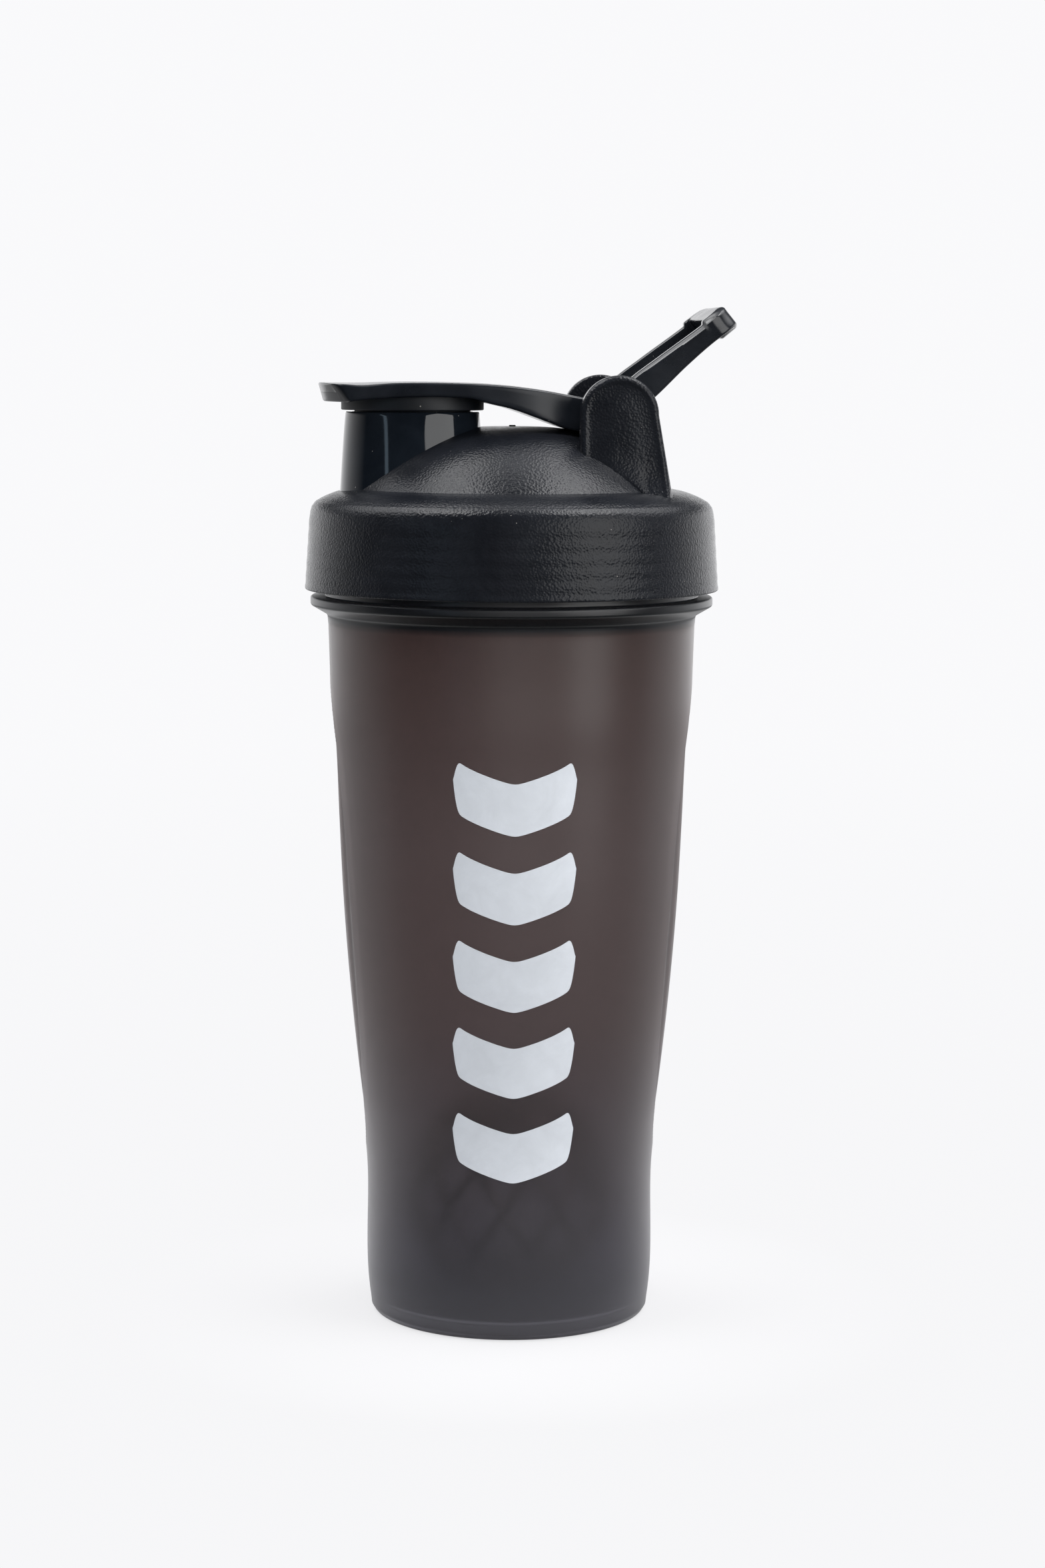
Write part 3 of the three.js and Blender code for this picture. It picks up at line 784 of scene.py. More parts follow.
@dataclass
class Cup:
    """The tapering cup with its foot, two oval grips, collar, threaded neck and print."""

    at: FrameMeasures
    turn_degrees: float = -4.5
    wall: float = 1.7
    grip_middle: float = 96.0
    grip_half_height: float = 56.0
    grip_half_width: float = 16.1
    grip_depth: float = 0.75
    rib_depth: float = 0.55
    rib_pitch: float = 0.46
    thread_bottom: float = 180.6
    thread_turns: float = 1.1
    print_shape: PrintShape = PrintShape.CHEVRON
    print_low: float = 37.6
    print_high: float = 139.6
    print_degrees: float = -93.1
    print_half_width: float = 14.4
    print_marks: int = 5
    print_stroke: float = 12.0
    print_point: float = 7.5
    print_lift: float = 3.7
    stations: list[float] = field(
        default_factory=lambda: [0, 0.9, 2.4, 39, 44.5, 54, 66, 86, 101.5, 119, 135, 143, 156, 166]
    )
    radii: list[float] = field(
        default_factory=lambda: [
            32.6, 33.2, 33.45, 34.6, 35.15, 36.5, 37.9, 39.8, 40.9, 41.75, 42.4, 42.85, 43.2, 43.5,
        ]
    )

    def wall_radius(self, z: Array) -> Array:
        """The outer wall's radius: a smooth line through the stations.

        Args:
            z: heights.

        Returns:
            The radius at each.
        """
        return smooth_line(z, self.stations, self.radii)

    def columns(self) -> Array:
        """Angles round the cup, close together across both grips and wider apart between them.

        Returns:
            Rising angles in the cup's own turn, without a repeated one.
        """
        fine = np.radians(np.arange(-26, 26, 0.5))
        wide = np.radians(np.arange(26, 154, 2.0))
        return np.concatenate([fine, wide, fine + math.pi, wide + math.pi])

    def grip(self, angle: Array, z: Array, radius: Array) -> Array:
        """How deep the grips reach below the wall.

        An ellipse on each side; across it, inside a soft edge, a level recess plus ribs that run
        along it and follow its outline, as a cosine of the share of the half width.

        Args:
            angle: angles in the cup's own turn.
            z: heights.
            radius: the wall's radius there.

        Returns:
            The depth at each place, zero outside the grips.
        """
        across = np.abs((angle + math.pi / 2) % math.pi - math.pi / 2) * radius
        climb = np.clip(1 - ((z - self.grip_middle) / self.grip_half_height) ** 2, 1e-6, 1)
        half = self.grip_half_width * np.sqrt(climb)
        share = across / half
        ends = (1 - np.abs(z - self.grip_middle) / self.grip_half_height) * 12
        edge = ramp(np.minimum((1 - share) * half, ends), 0.0, 0.8)
        wave = 0.5 - 0.5 * np.cos(TAU * share / self.rib_pitch)
        return edge * (self.grip_depth + self.rib_depth * wave)

    def thread(self, angle: Array, z: Array) -> Array:
        """The neck's screw thread: a ridge on a rising helix that fades at both ends.

        Args:
            angle: angles in the cup's own turn.
            z: heights.

        Returns:
            How far the thread stands out at each place.
        """
        height = np.zeros(np.broadcast(angle, z).shape)
        for lap in range(math.ceil(self.thread_turns)):
            along = angle / TAU + lap
            crest = self.thread_bottom + THREAD_PITCH * along
            ends = ramp(along, 0, 0.03) * ramp(self.thread_turns - along, 0, 0.03)
            height = np.maximum(height, thread_ridge(z - crest) * ends)
        return THREAD_HEIGHT * height

    def shell(self) -> Surface:
        """The cup's wall: the outer outline, the rim, then the inner outline down to the floor.

        Returns:
            A surface closed by a pole under the floor and one on it.
        """
        top, collar = self.at.rim, self.at.collar_top
        foot = rounded(
            [(0.8, 1.0, 0), (28.6, 1.0, 0.8), (29.8, 0.0, 0.5), (32.6, 0.0, 0.6), (33.35, 1.2, 0)],
            1.2, closed=False,
        )
        z = np.concatenate([np.arange(1.6, 39, 1.6), np.arange(39.6, 153), np.arange(153.5, 165.6, 1.4)])
        side = np.stack([self.wall_radius(z), z], -1)
        neck = np.arange(collar + 0.8, top - 0.7, 0.4)
        collar_line = rounded(
            [
                (43.5, 165.8, 0), (43.75, 168.3, 1.2), (47.7, 170.6, 0.8),
                (47.7, collar, 0.6), (44.1, collar, 0.4), (44.1, collar + 0.8, 0),
            ], 0.5, closed=False,
        )
        upper = np.stack([neck * 0 + 44.1, neck], -1)
        rim = rounded(
            [(44.1, top - 0.6, 0), (44.1, top, 0.6), (42.0, top, 0.6), (42.0, top - 1.2, 0)],
            0.6, closed=False,
        )
        inner_z = np.concatenate([np.arange(top - 2, collar, -2.0), np.arange(collar - 1.5, 9, -2.4)])
        wide = inner_z > collar - 2
        bore = np.where(wide, 42.0, np.minimum(self.wall_radius(inner_z) - self.wall, 42.0))
        inner = np.stack([bore, inner_z], -1)
        floor = rounded([(31.9, 8.0, 0), (31.6, 3.2, 5.0), (0.8, 3.2, 0)], 2.5, closed=False)
        profile = np.concatenate([foot, side, collar_line, upper, rim, inner, floor])
        own = self.columns()
        grid = lathe(profile, own + math.radians(self.turn_degrees))
        radius = np.repeat(profile[:, :1], len(own), 1)
        heights = np.repeat(profile[:, 1:], len(own), 1)
        angles = np.repeat(own[None], len(profile), 0)
        change = np.zeros_like(radius)
        start, end = len(foot), len(foot) + len(side)
        change[start:end] = -self.grip(angles[start:end], heights[start:end], radius[start:end])
        start = end + len(collar_line)
        end = start + len(upper)
        change[start:end] = self.thread(angles[start:end], heights[start:end])
        grid[..., :2] *= (1 + change / radius)[..., None]
        return Surface(grid)

    def mark(self, middle: float) -> Surface:
        """One printed mark: a band across the front whose height follows its shape, 0.05 mm thick.

        Args:
            middle: the mark's height on the cup.

        Returns:
            A thin closed surface just off the wall.
        """
        s = np.linspace(-1, 1, 61)
        half = self.print_half_width
        along = np.sin(s * math.pi / 2) * half
        pointed = self.print_shape is PrintShape.CHEVRON
        drop = self.print_point * (1 - np.abs(np.sqrt(s * s + 0.004))) if pointed else 0 * s
        end = np.sqrt(np.clip(1 - ramp(np.abs(along), half - 2.2, half) ** 2, 0.002, 1))
        t = np.linspace(-1, 1, 7)
        across = np.concatenate([t, t[::-1]]) * self.print_stroke / 2
        lift = np.concatenate([t * 0 + 0.08, t * 0 + 0.03])
        z = middle - drop[:, None] + self.print_lift + across[None] * end[:, None]
        radius = self.wall_radius(z) + lift[None]
        angle = along[:, None] / radius + math.radians(self.print_degrees)
        return Surface(np.stack([radius * np.cos(angle), radius * np.sin(angle), z], -1))

    def build(self, finish: Finish, ink: Finish, groups: EffectGroups) -> None:
        """Makes the cup and its print.

        Args:
            finish: the cup's plastic.
            ink: the print's ink.
            groups: the shared effects.
        """
        settle(make_piece("cup_shell", [self.shell()], 50), Stand.CUP, finish.make(groups))
        reach = self.print_stroke / 2 + 3.8
        middles = np.linspace(self.print_low + reach, self.print_high - reach, self.print_marks)
        marks = [self.mark(float(middle)) for middle in middles]
        settle(make_piece("cup_print", marks, 30), Stand.CUP, ink.make(groups))


# ---------------------------------------------------------------- whisk ball and gasket


@dataclass
class WhiskBall:
    """A ball wound from one wire."""

    at: FrameMeasures
    radius: float = 23.9
    wire: float = 1.0
    windings: int = 11
    tilt_degrees: float = 62.0

    def build(self, finish: Finish, groups: EffectGroups) -> None:
        """Winds the wire along a tilted great circle whose plane turns once round the vertical as it goes.

        Args:
            finish: the wire's metal.
            groups: the shared effects.
        """
        t = np.linspace(0, TAU * self.windings, 96 * self.windings, endpoint=False)
        tilt, spin = math.radians(self.tilt_degrees), t / self.windings
        circle = np.stack([np.cos(t), np.sin(t) * math.cos(tilt), np.sin(t) * math.sin(tilt)], -1)
        flat = circle * self.radius
        centre = np.stack(
            [
                flat[:, 0] * np.cos(spin) - flat[:, 1] * np.sin(spin),
                flat[:, 0] * np.sin(spin) + flat[:, 1] * np.cos(spin),
                flat[:, 2],
            ], -1,
        )
        out = centre / np.linalg.norm(centre, axis=1, keepdims=True)
        ahead = np.roll(centre, -1, 0) - np.roll(centre, 1, 0)
        side = np.cross(ahead / np.linalg.norm(ahead, axis=1, keepdims=True), out)
        around = turns(8)[None, :, None]
        ring = np.cos(around) * out[:, None] + np.sin(around) * side[:, None]
        tube = centre[:, None] + self.wire * ring + np.array([0, 0, self.at.ball_middle])
        piece = make_piece("whisk_winding", [Surface(tube, rows_wrap=True)], 60)
        settle(piece, Stand.BALL, finish.make(groups))


@dataclass
class Gasket:
    """The flat silicone ring between the cup's rim and the lid."""

    at: FrameMeasures
    inner: float = 41.4
    outer: float = 45.6
    thickness: float = 1.5

    def build(self, finish: Finish, groups: EffectGroups) -> None:
        """Turns a rounded flat section.

        Args:
            finish: the rubber.
            groups: the shared effects.
        """
        low = self.at.gasket_low
        high = low + self.thickness
        corners = [(self.inner, low), (self.outer, low), (self.outer, high), (self.inner, high)]
        section = rounded([(r, z, 0.5) for r, z in corners], 0.8)
        piece = make_piece("gasket_ring", [Surface(lathe(section, turns(144)), rows_wrap=True)])
        settle(piece, Stand.GASKET, finish.make(groups))


# ---------------------------------------------------------------- the lid


@dataclass
class Lid:
    """The screw lid: skirt, shoulder and dome, the spout and the two hinge ears."""

    at: FrameMeasures
    wall: float = 1.9
    skirt_wall: float = 2.63
    thread_drop: float = 5.3
    hole_radius: float = 14.9
    crease_radius: float = 37.7
    shoulder_radius: float = 48.0
    dome_height: float = 14.6
    spout_radius: float = 15.8
    spout_flare: float = 1.3
    spout_bore: float = 14.0
    mouth_rise: float = 25.4
    ear_radius: float = 9.1
    ear_flare: float = 3.4
    ear_inner: float = 19.4
    ear_outer: float = 23.9

    @property
    def crease(self) -> float:
        """Height of the crease between shoulder and dome.

        Returns:
            Millimetres above the floor.
        """
        return self.at.rim + 7.4

    @property
    def mouth(self) -> float:
        """Height of the spout's mouth.

        Returns:
            Millimetres above the floor.
        """
        return self.at.rim + self.mouth_rise

    def top(self, radius: Array) -> Array:
        """The lid's top surface: the dome falls with the cube of the radius, the shoulder smoothly.

        Args:
            radius: distances from the axis.

        Returns:
            The surface's height at each.
        """
        share = np.minimum(radius, self.crease_radius) / self.crease_radius
        dome = self.crease + self.dome_height * (1 - share**3)
        shoulder = self.at.rim + smooth_line(
            radius,
            [self.crease_radius, 40.4, 43.6, 45.6, 46.9, 47.7, self.shoulder_radius],
            [7.35, 6.85, 5.75, 4.75, 3.7, 1.9, -0.2],
        )
        return np.where(radius <= self.crease_radius, dome, shoulder)

    def shell(self) -> bpy.types.Object:
        """The turned shell, with the spout's hole cut through its dome.

        The section runs over the dome and shoulder, down the skirt, round its lower edge, up inside
        with the thread ridge on it, past the seat and the seal lip and back under the dome.

        Returns:
            The shell as an object.
        """
        rim, low = self.at.rim, self.at.skirt_bottom
        outer, edge = self.at.skirt_radius, self.shoulder_radius
        near_crease = [37.35, self.crease_radius, 38.1]
        r_top = np.concatenate([np.linspace(0.5, 36.9, 46), near_crease, np.linspace(38.8, edge, 30)])
        over = np.stack([r_top, self.top(r_top)], -1)
        z = np.arange(rim - 0.8, low + 1.0, -0.45)
        draft = edge + (outer - edge) * (rim - z) / (rim - low)
        skirt = np.stack([draft + 0.035 * np.sin(z * TAU / 3.1) - 0.035, z], -1)
        bore = outer - self.skirt_wall
        lower = rounded(
            [(outer - 0.02, low + 0.9, 0), (outer, low, 0.7), (bore, low, 0.6), (bore, low + 1.2, 0)],
            0.5, closed=False,
        )
        inside_z = np.arange(low + 1.5, rim + 1.4, 0.45)
        inside = np.stack([inside_z * 0 + bore, inside_z], -1)
        lip = rounded(
            [
                (bore, rim + 1.6, 0), (bore, rim + 2.1, 0.3), (40.9, rim + 2.1, 0.3),
                (40.6, rim - 3.6, 0.4), (39.3, rim - 3.6, 0.4), (39.3, rim + 2.1, 0.6),
                (36.9, self.crease - 2.4, 0),
            ], 0.6, closed=False,
        )
        under_radius = self.crease_radius - self.wall
        r_under = np.linspace(under_radius, 0.5, 32)
        under_dome = self.crease - self.wall + self.dome_height * (1 - (r_under / under_radius) ** 3)
        under = np.stack([r_under, under_dome], -1)
        profile = np.concatenate([over, skirt, lower, inside, lip, under])
        angle = turns(288)
        grid = lathe(profile, angle)
        start = len(over) + len(skirt) + len(lower)
        rows = slice(start, start + len(inside))
        crest = rim - self.thread_drop - THREAD_PITCH * (1 - angle / TAU)
        ends = ramp(angle, 0, 0.2) * ramp(TAU - angle, 0, 0.2)
        ridge = thread_ridge(inside_z[:, None] - crest) * ends * THREAD_HEIGHT
        grid[rows, :, :2] *= (1 - ridge / bore)[..., None]
        piece = make_piece("lid_shell", [Surface(grid)], 28)
        rod_z = np.array([self.crease - 12, self.mouth + 4])
        rod = np.stack([rod_z * 0 + self.hole_radius, rod_z], -1)
        cutter = make_piece("spout_cutter", [Surface(lathe(rod, turns(96), SPOUT_X))])
        cut = piece.modifiers.new("spout_hole", "BOOLEAN")
        cut.operation, cut.object, cut.solver = "DIFFERENCE", cutter, "EXACT"
        evaluated = piece.evaluated_get(bpy.context.evaluated_depsgraph_get())
        mesh = bpy.data.meshes.new_from_object(evaluated)
        piece.modifiers.clear()
        piece.data = mesh
        bpy.data.objects.remove(cutter)
        mesh.shade_smooth()
        mesh.set_sharp_from_angle(angle=math.radians(28))
        return piece

    def spout(self) -> Surface:
        """The drinking spout: a tube whose lower edge follows the lid's surface just below it.

        The outside bellies slightly from mouth to foot; its heights run from the buried edge to
        the mouth, and the mouth is rounded over to the bore.

        Returns:
            A surface that wraps both ways.
        """
        angle = turns(144)
        share = np.linspace(0, 1, 40)[:, None]
        foot_radius = self.spout_radius + self.spout_flare
        foot_x = SPOUT_X + foot_radius * np.cos(angle)
        foot_y = foot_radius * np.sin(angle)
        buried = self.top(np.hypot(foot_x, foot_y)) - BURIED
        lip = 0.45
        out_z = buried[None] + (self.mouth - lip - buried[None]) * share
        fall = (self.mouth - out_z) / (self.mouth - self.crease)
        out_r = self.spout_radius + self.spout_flare * np.clip(fall, 0, 1.3) ** 0.8
        theta = np.linspace(0, math.pi, 13)[1:-1, None]
        lip_middle = (self.spout_radius + self.spout_bore) / 2
        lip_half = (self.spout_radius - self.spout_bore) / 2
        lip_r = lip_middle + lip_half * np.sign(np.cos(theta)) * np.abs(np.cos(theta)) ** 0.5 + 0 * angle
        lip_z = self.mouth - lip + lip * np.sin(theta) ** 0.5 + 0 * angle
        in_z = (self.mouth - lip) + (buried[None] - 1.2 - self.mouth + lip) * np.linspace(0, 1, 14)[:, None]
        in_r = self.spout_bore + 0 * in_z
        r = np.concatenate([out_r, lip_r, in_r])
        z = np.concatenate([out_z, lip_z, in_z])
        x, y = SPOUT_X + r * np.cos(angle), r * np.sin(angle)
        return Surface(np.stack([x, y, z], -1), rows_wrap=True)

    def ear(self, side: int) -> Surface:
        """One hinge ear: a round-topped upright whose faces are fields of height over its outline.

        Rows climb from inside the lid's surface to the round top, where they follow the circle's
        angle. Columns cross the outer face and come back over the inner one. The outer face is
        pillowed, has a rounded rim, and its foot curves outwards onto the lid.

        Args:
            side: -1 for the near ear, 1 for the far one.

        Returns:
            The ear's closed surface.
        """
        radius, hx, hz = self.ear_radius, self.at.hinge_x, self.at.hinge_z
        foot = self.crease - 1.9
        u = np.sin(np.linspace(-1, 1, 61) * math.pi / 2)
        low = np.linspace(0, 1, 56)[:, None]
        arc = np.radians(np.linspace(0, 89.3, 44))[1:, None]

        def across(z: Array, s: Array) -> Array:
            """Position along X.

            Args:
                z: heights.
                s: places between the edges, from -1 on the left to 1 on the right.

            Returns:
                X at each place.
            """
            right = hx + radius + self.ear_flare * (hz - z) / (hz - foot)
            left = hx - radius + 0 * z
            return (left + right) / 2 + s * (right - left) / 2

        z_low = foot + (hz - foot) * low + 0 * u
        for _ in range(3):
            x_low = across(z_low, u)
            start = self.top(np.hypot(x_low, self.ear_outer)) - BURIED
            z_low = start + (hz - start) * low
        x = np.concatenate([across(z_low, u), hx + u * radius * np.cos(arc)])
        z = np.concatenate([z_low, hz + radius * np.sin(arc) + 0 * u])
        right = hx + radius + self.ear_flare * np.clip((hz - z) / (hz - foot), 0, 2)
        from_arc = radius - np.hypot(x - hx, z - hz)
        from_sides = np.minimum(x - hx + radius, right - x)
        inward = np.clip(np.where(z > hz, from_arc, from_sides), 0, None)

        def rim(reach: float) -> Array:
            """A quarter-round edge along the outline.

            Args:
                reach: its radius.

            Returns:
                How far it falls back at each place.
            """
            short = np.clip(reach - inward, 0, reach)
            return reach - np.sqrt(np.clip(reach**2 - short**2, 0, None))

        above = np.clip(z - self.top(np.hypot(x, self.ear_outer)), -BURIED, None)
        sweep = 0.25 + 2.0 * ramp(x, hx - radius, hx + radius + self.ear_flare)
        flare = sweep * np.exp(-((np.clip(above + 0.6, 0, None) / 3.2) ** 1.3))
        dish = 0.28 * ramp(inward, 0.9, 2.2) - 0.3 * ramp(inward, 2.6, 8.0)
        front = self.ear_outer - rim(1.25) - dish + flare * ramp(inward, -0.6, 1.6)
        back = self.ear_inner + rim(0.8)
        y = np.concatenate([front, back[:, ::-1]], 1)
        both_x, both_z = (np.concatenate([values, values[:, ::-1]], 1) for values in (x, z))
        return Surface(np.stack([both_x, side * y, both_z], -1))

    def build(self, grained: Finish, polished: Finish, groups: EffectGroups) -> None:
        """Makes the shell, the ears, the spout and the gate mark.

        Args:
            grained: the lid's grained plastic.
            polished: the spout's polished plastic.
            groups: the shared effects.
        """
        skin = grained.make(groups)
        settle(self.shell(), Stand.LID, skin)
        settle(make_piece("lid_ears", [self.ear(-1), self.ear(1)], 45), Stand.LID, skin)
        settle(make_piece("lid_spout", [self.spout()], 40), Stand.LID, polished.make(groups))
        low, high = self.crease + self.dome_height - 0.8, self.crease + self.dome_height + 0.3
        pip = rounded([(0.1, low, 0), (0.8, low, 0), (0.8, high, 0.2), (0.1, high, 0)], 0.3, closed=False)
        settle(make_piece("lid_gate", [Surface(lathe(pip, turns(24)))]), Stand.LID, skin)


# ---------------------------------------------------------------- the flip cap


@dataclass
class FlipCap:
    """The flip cap: a crowned arm from the tip to the hinge, its seat ring, plug and hub."""

    at: FrameMeasures
    mouth: float = 216.0
    tip: float = -45.8
    root: float = 21.0
    half_width: float = 18.4
    hub_half_width: float = 14.8
    hub_radius: float = 5.2
    pin_radius: float = 2.9
    pin_reach: float = 22.2
    bow: float = 2.6
    slant: float = 2.0

    def arm(self) -> Surface:
        """The arm: a rounded box section carried from the tip to the hinge.

        The section's top and underside follow two side-view lines, its width tapers from the seat
        to the hub, its top is crowned across, and the tip's face bows and slants backwards.

        Returns:
            The arm's closed surface.
        """
        hz = self.at.hinge_z
        edge = 0.5
        theta = np.linspace(0, math.pi / 2, 7)
        start = self.tip + edge * (1 - np.cos(theta))
        x = np.concatenate([[self.tip], start, np.linspace(self.tip + 1.0, self.root, 96)])
        inset = np.concatenate([[edge], edge * (1 - np.sin(theta)), np.zeros(96)])
        top = smooth_line(
            x, [-45.8, -42.4, -37.4, -30.3, -21.7, -14.6, -7.4, -0.3, 6.9, 12.7, 16.6, 21],
            [222.7, 222.7, 222.7, 222.9, 223.0, 222.9, 222.65, 222.1, 221.15, 220.1, 219.4, 218.8],
        )
        low = smooth_line(
            x, [-45.8, -40.8, -34.5, -24, -15.6, -10, -7.2, -1.6, 4, 7.6, 12, 21],
            [218.3, 218.45, 218.95, 219.5, 219.45, 219.0, 218.2, 216.9, 215.0, 213.7, 212.2, hz - 4.6],
        )
        width = smooth_line(
            x, [-45.8, -45.0, -43.8, -41.5, -34, -8, 4, 12, 21],
            [16.2, 17.4, 18.1, 18.35, self.half_width, self.half_width, 17.0, 15.0, self.hub_half_width],
        )
        half_height = (top - low) / 2 - inset
        half_height[0] = 0.02
        radius = np.clip(0 * x + 0.6, 0, half_height * 0.95)
        across, up = box_loop(width - inset, half_height, radius, side=24)
        share = np.clip(across / width[:, None], -1, 1)
        upper = np.clip(2 * up / (top - low)[:, None], -1, 1)
        sag = (0.2 + 0.45 * np.exp(-(((x + 36) / 5) ** 2)))[:, None] * np.abs(share) ** 2.4
        z = (top + low)[:, None] / 2 + up - sag * np.clip(upper, 0, 1)
        along = x[:, None] + self.bow * share**2 * (1 - ramp(x, self.tip, self.tip + 14))[:, None]
        slant = self.slant * (0.6 + 0.9 * share**2) * (1 - (upper + 1) / 2)
        along = along + slant * (1 - ramp(x, self.tip, self.tip + 7))[:, None]
        return Surface(np.stack([along, across, z], -1))

    def seal(self) -> Surface:
        """The seat ring over the mouth and the tapered plug in the bore.

        Returns:
            Both, turned as one ring.
        """
        m = self.mouth
        section = rounded(
            [
                (16.8, m + 0.36, 0.3), (16.8, m + 4.4, 0), (12.1, m + 4.4, 0), (12.1, m - 5.8, 0.4),
                (13.1, m - 5.8, 0.5), (13.65, m - 1.6, 0.4), (13.65, m + 0.36, 0.3),
            ], 0.7,
        )
        return Surface(lathe(section, turns(128), SPOUT_X), rows_wrap=True)

    def across_hinge(self, section: list[Corner]) -> Surface:
        """Turns a section about the hinge axis.

        Args:
            section: corners as (distance along the axis, radius, rounding).

        Returns:
            The turned surface.
        """
        line = rounded(section, 0.8, closed=False)
        angle = turns(64)
        return Surface(
            np.stack(
                [
                    self.at.hinge_x + line[:, 1:] * np.cos(angle),
                    line[:, :1] + 0 * angle,
                    self.at.hinge_z + line[:, 1:] * np.sin(angle),
                ], -1,
            )
        )

    def build(self, finish: Finish, seal_finish: Finish, groups: EffectGroups) -> None:
        """Makes the arm with its seal, and the hub with its pins.

        Args:
            finish: the cap's plastic.
            seal_finish: the duller plastic of the seat ring and plug.
            groups: the shared effects.
        """
        skin = finish.make(groups)
        settle(make_piece("cap_arm", [self.arm()], 50), Stand.CAP, skin)
        settle(make_piece("cap_seal", [self.seal()], 40), Stand.CAP, seal_finish.make(groups))
        w, r = self.hub_half_width, self.hub_radius
        pin, end = self.pin_radius, self.pin_reach
        hub = self.across_hinge(
            [
                (-end, 0.2, 0), (-end, pin, 0.5), (-w, pin, 0.2), (-w, r, 0.6),
                (w, r, 0.6), (w, pin, 0.2), (end, pin, 0.5), (end, 0.2, 0),
            ]
        )
        settle(make_piece("cap_hub", [hub], 40), Stand.CAP, skin)


# ---------------------------------------------------------------- the carry loop


@dataclass
class CarryLoop:
    """The carrying loop: two eyes on the hinge, two legs and a lipped crossbar."""

    at: FrameMeasures
    rest_degrees: float = 39.5
    length: float = 35.15
    leg_inner: float = 15.1
    leg_outer: float = 19.1
    bar: float = 5.0
    corner: float = 5.0
    eye_radius: float = 6.0
    bore: float = 3.3

    def place(self, u: Array, v: Array, y: Array) -> Array:
        """Turns the loop's own coordinates into the resting place.

        Args:
            u: distance from the hinge along the legs.
            v: height above the legs' line.
            y: distance along the hinge.

        Returns:
            Points in the model's frame.
        """
        a = math.radians(self.rest_degrees)
        x = self.at.hinge_x + u * math.cos(a) - v * math.sin(a)
        z = self.at.hinge_z + u * math.sin(a) + v * math.cos(a)
        return np.stack(np.broadcast_arrays(x, y, z), -1)

    def frame_piece(self) -> Surface:
        """Legs and crossbar: a rounded section carried along a U whose corners are quarter circles.

        The section's upper and lower edges depend on the distance from the hinge. Its upper outer
        corner is rounded over, and a bead runs below it along the outside of each leg.

        Returns:
            The closed surface.
        """
        middle = (self.leg_inner + self.leg_outer) / 2
        end = self.length - self.bar / 2
        r = self.corner - 2.0
        straight = np.linspace(4.6, end - r, 60)
        quarter = np.linspace(0, math.pi / 2, 17)[1:-1]
        side = np.linspace(-(middle - r), middle - r, 21)
        u = np.concatenate(
            [
                straight, end - r + r * np.sin(quarter), end + 0 * side,
                end - r + r * np.cos(quarter), straight[::-1],
            ]
        )
        y = np.concatenate(
            [
                -middle + 0 * straight, -middle + r * (1 - np.cos(quarter)), side,
                middle - r * (1 - np.sin(quarter)), middle + 0 * straight,
            ]
        )
        leg = 0 * straight
        out_u = np.concatenate([leg, np.sin(quarter), 1 + 0 * side, np.cos(quarter), leg])
        out_y = np.concatenate([leg - 1, -np.cos(quarter), 0 * side, np.sin(quarter), leg + 1])
        half = 2.0 + 0.5 * out_u
        lipped = ramp(u, 28.2, 29.0)
        top = smooth_line(u, [4, 8, 15, 28, 35], [4.3, 4.6, 4.3, 3.55, 3.3]) + 0.75 * lipped
        low = -smooth_line(u, [4, 8, 10, 20, 29, 33, 36], [2.6, 2.4, 2.3, 1.45, 1.25, 1.5, 1.4])
        low = low - 0.9 * out_u * ramp(middle - np.abs(y), 0.5, 5.0)
        across, up = box_loop(half, (top - low) / 2, 0 * u + 0.7, side=12)
        outer = np.clip(across / half[:, None], -1, 1)
        height = np.clip(up / ((top - low)[:, None] / 2), -1, 1)
        on_legs = (ramp(u, 10.2, 12.0) * np.abs(out_y))[:, None]
        bead = 0.28 * np.exp(-(((height - 0.62) / 0.18) ** 2)) * ramp(outer, 0.2, 1.0) * on_legs
        depth = (0.4 + 0.35 * lipped * np.abs(out_y))[:, None]
        drop = depth * ramp(outer, 0.3, 1.0) * ramp(height, 0.3, 1.0)
        away = across + bead
        return Surface(
            self.place(
                u[:, None] + out_u[:, None] * away,
                (top + low)[:, None] / 2 + up - drop,
                y[:, None] + out_y[:, None] * away,
            )
        )

    def eye(self, side: int) -> Surface:
        """One eye: a flat rounded ring about the hinge axis.

        Args:
            side: -1 for the near eye, 1 for the far one.

        Returns:
            A surface that wraps both ways.
        """
        corners = [
            (self.bore, self.leg_inner, 0.3), (self.eye_radius, self.leg_inner, 0.7),
            (self.eye_radius, self.leg_outer, 0.7), (self.bore, self.leg_outer, 0.3),
        ]
        section = rounded(corners, 0.8)
        angle = turns(96)
        radius, y = section[:, :1], side * section[:, 1:] + 0 * angle
        return Surface(self.place(radius * np.cos(angle), radius * np.sin(angle), y), rows_wrap=True)

    def build(self, finish: Finish, groups: EffectGroups) -> None:
        """Makes the loop.

        Args:
            finish: the loop's plastic.
            groups: the shared effects.
        """
        piece = make_piece("loop_bow", [self.frame_piece(), self.eye(-1), self.eye(1)], 50)
        settle(piece, Stand.LOOP, finish.make(groups))


# ---------------------------------------------------------------- studio


@dataclass(frozen=True)
class Patch:
    """A round soft patch of the surround, in degrees.

    The azimuth counts to the right of the camera, seen from the bottle. The patch is whole up to
    inner from its middle and gone from outer on.
    """

    azimuth: float
    elevation: float
    inner: float
    outer: float
    strength: float


@dataclass(frozen=True)
class Softbox:
    """A rectangular light that faces the bottle; the azimuth counts to the right of the camera.

    Height, distance and size are metres, the power is watts. A light that isn't mirrored does not
    show in glossy surfaces.
    """

    name: str
    azimuth: float
    height: float
    distance: float
    size: tuple[float, float]
    watts: float
    colour: Colour = WHITE
    mirrored: bool = True


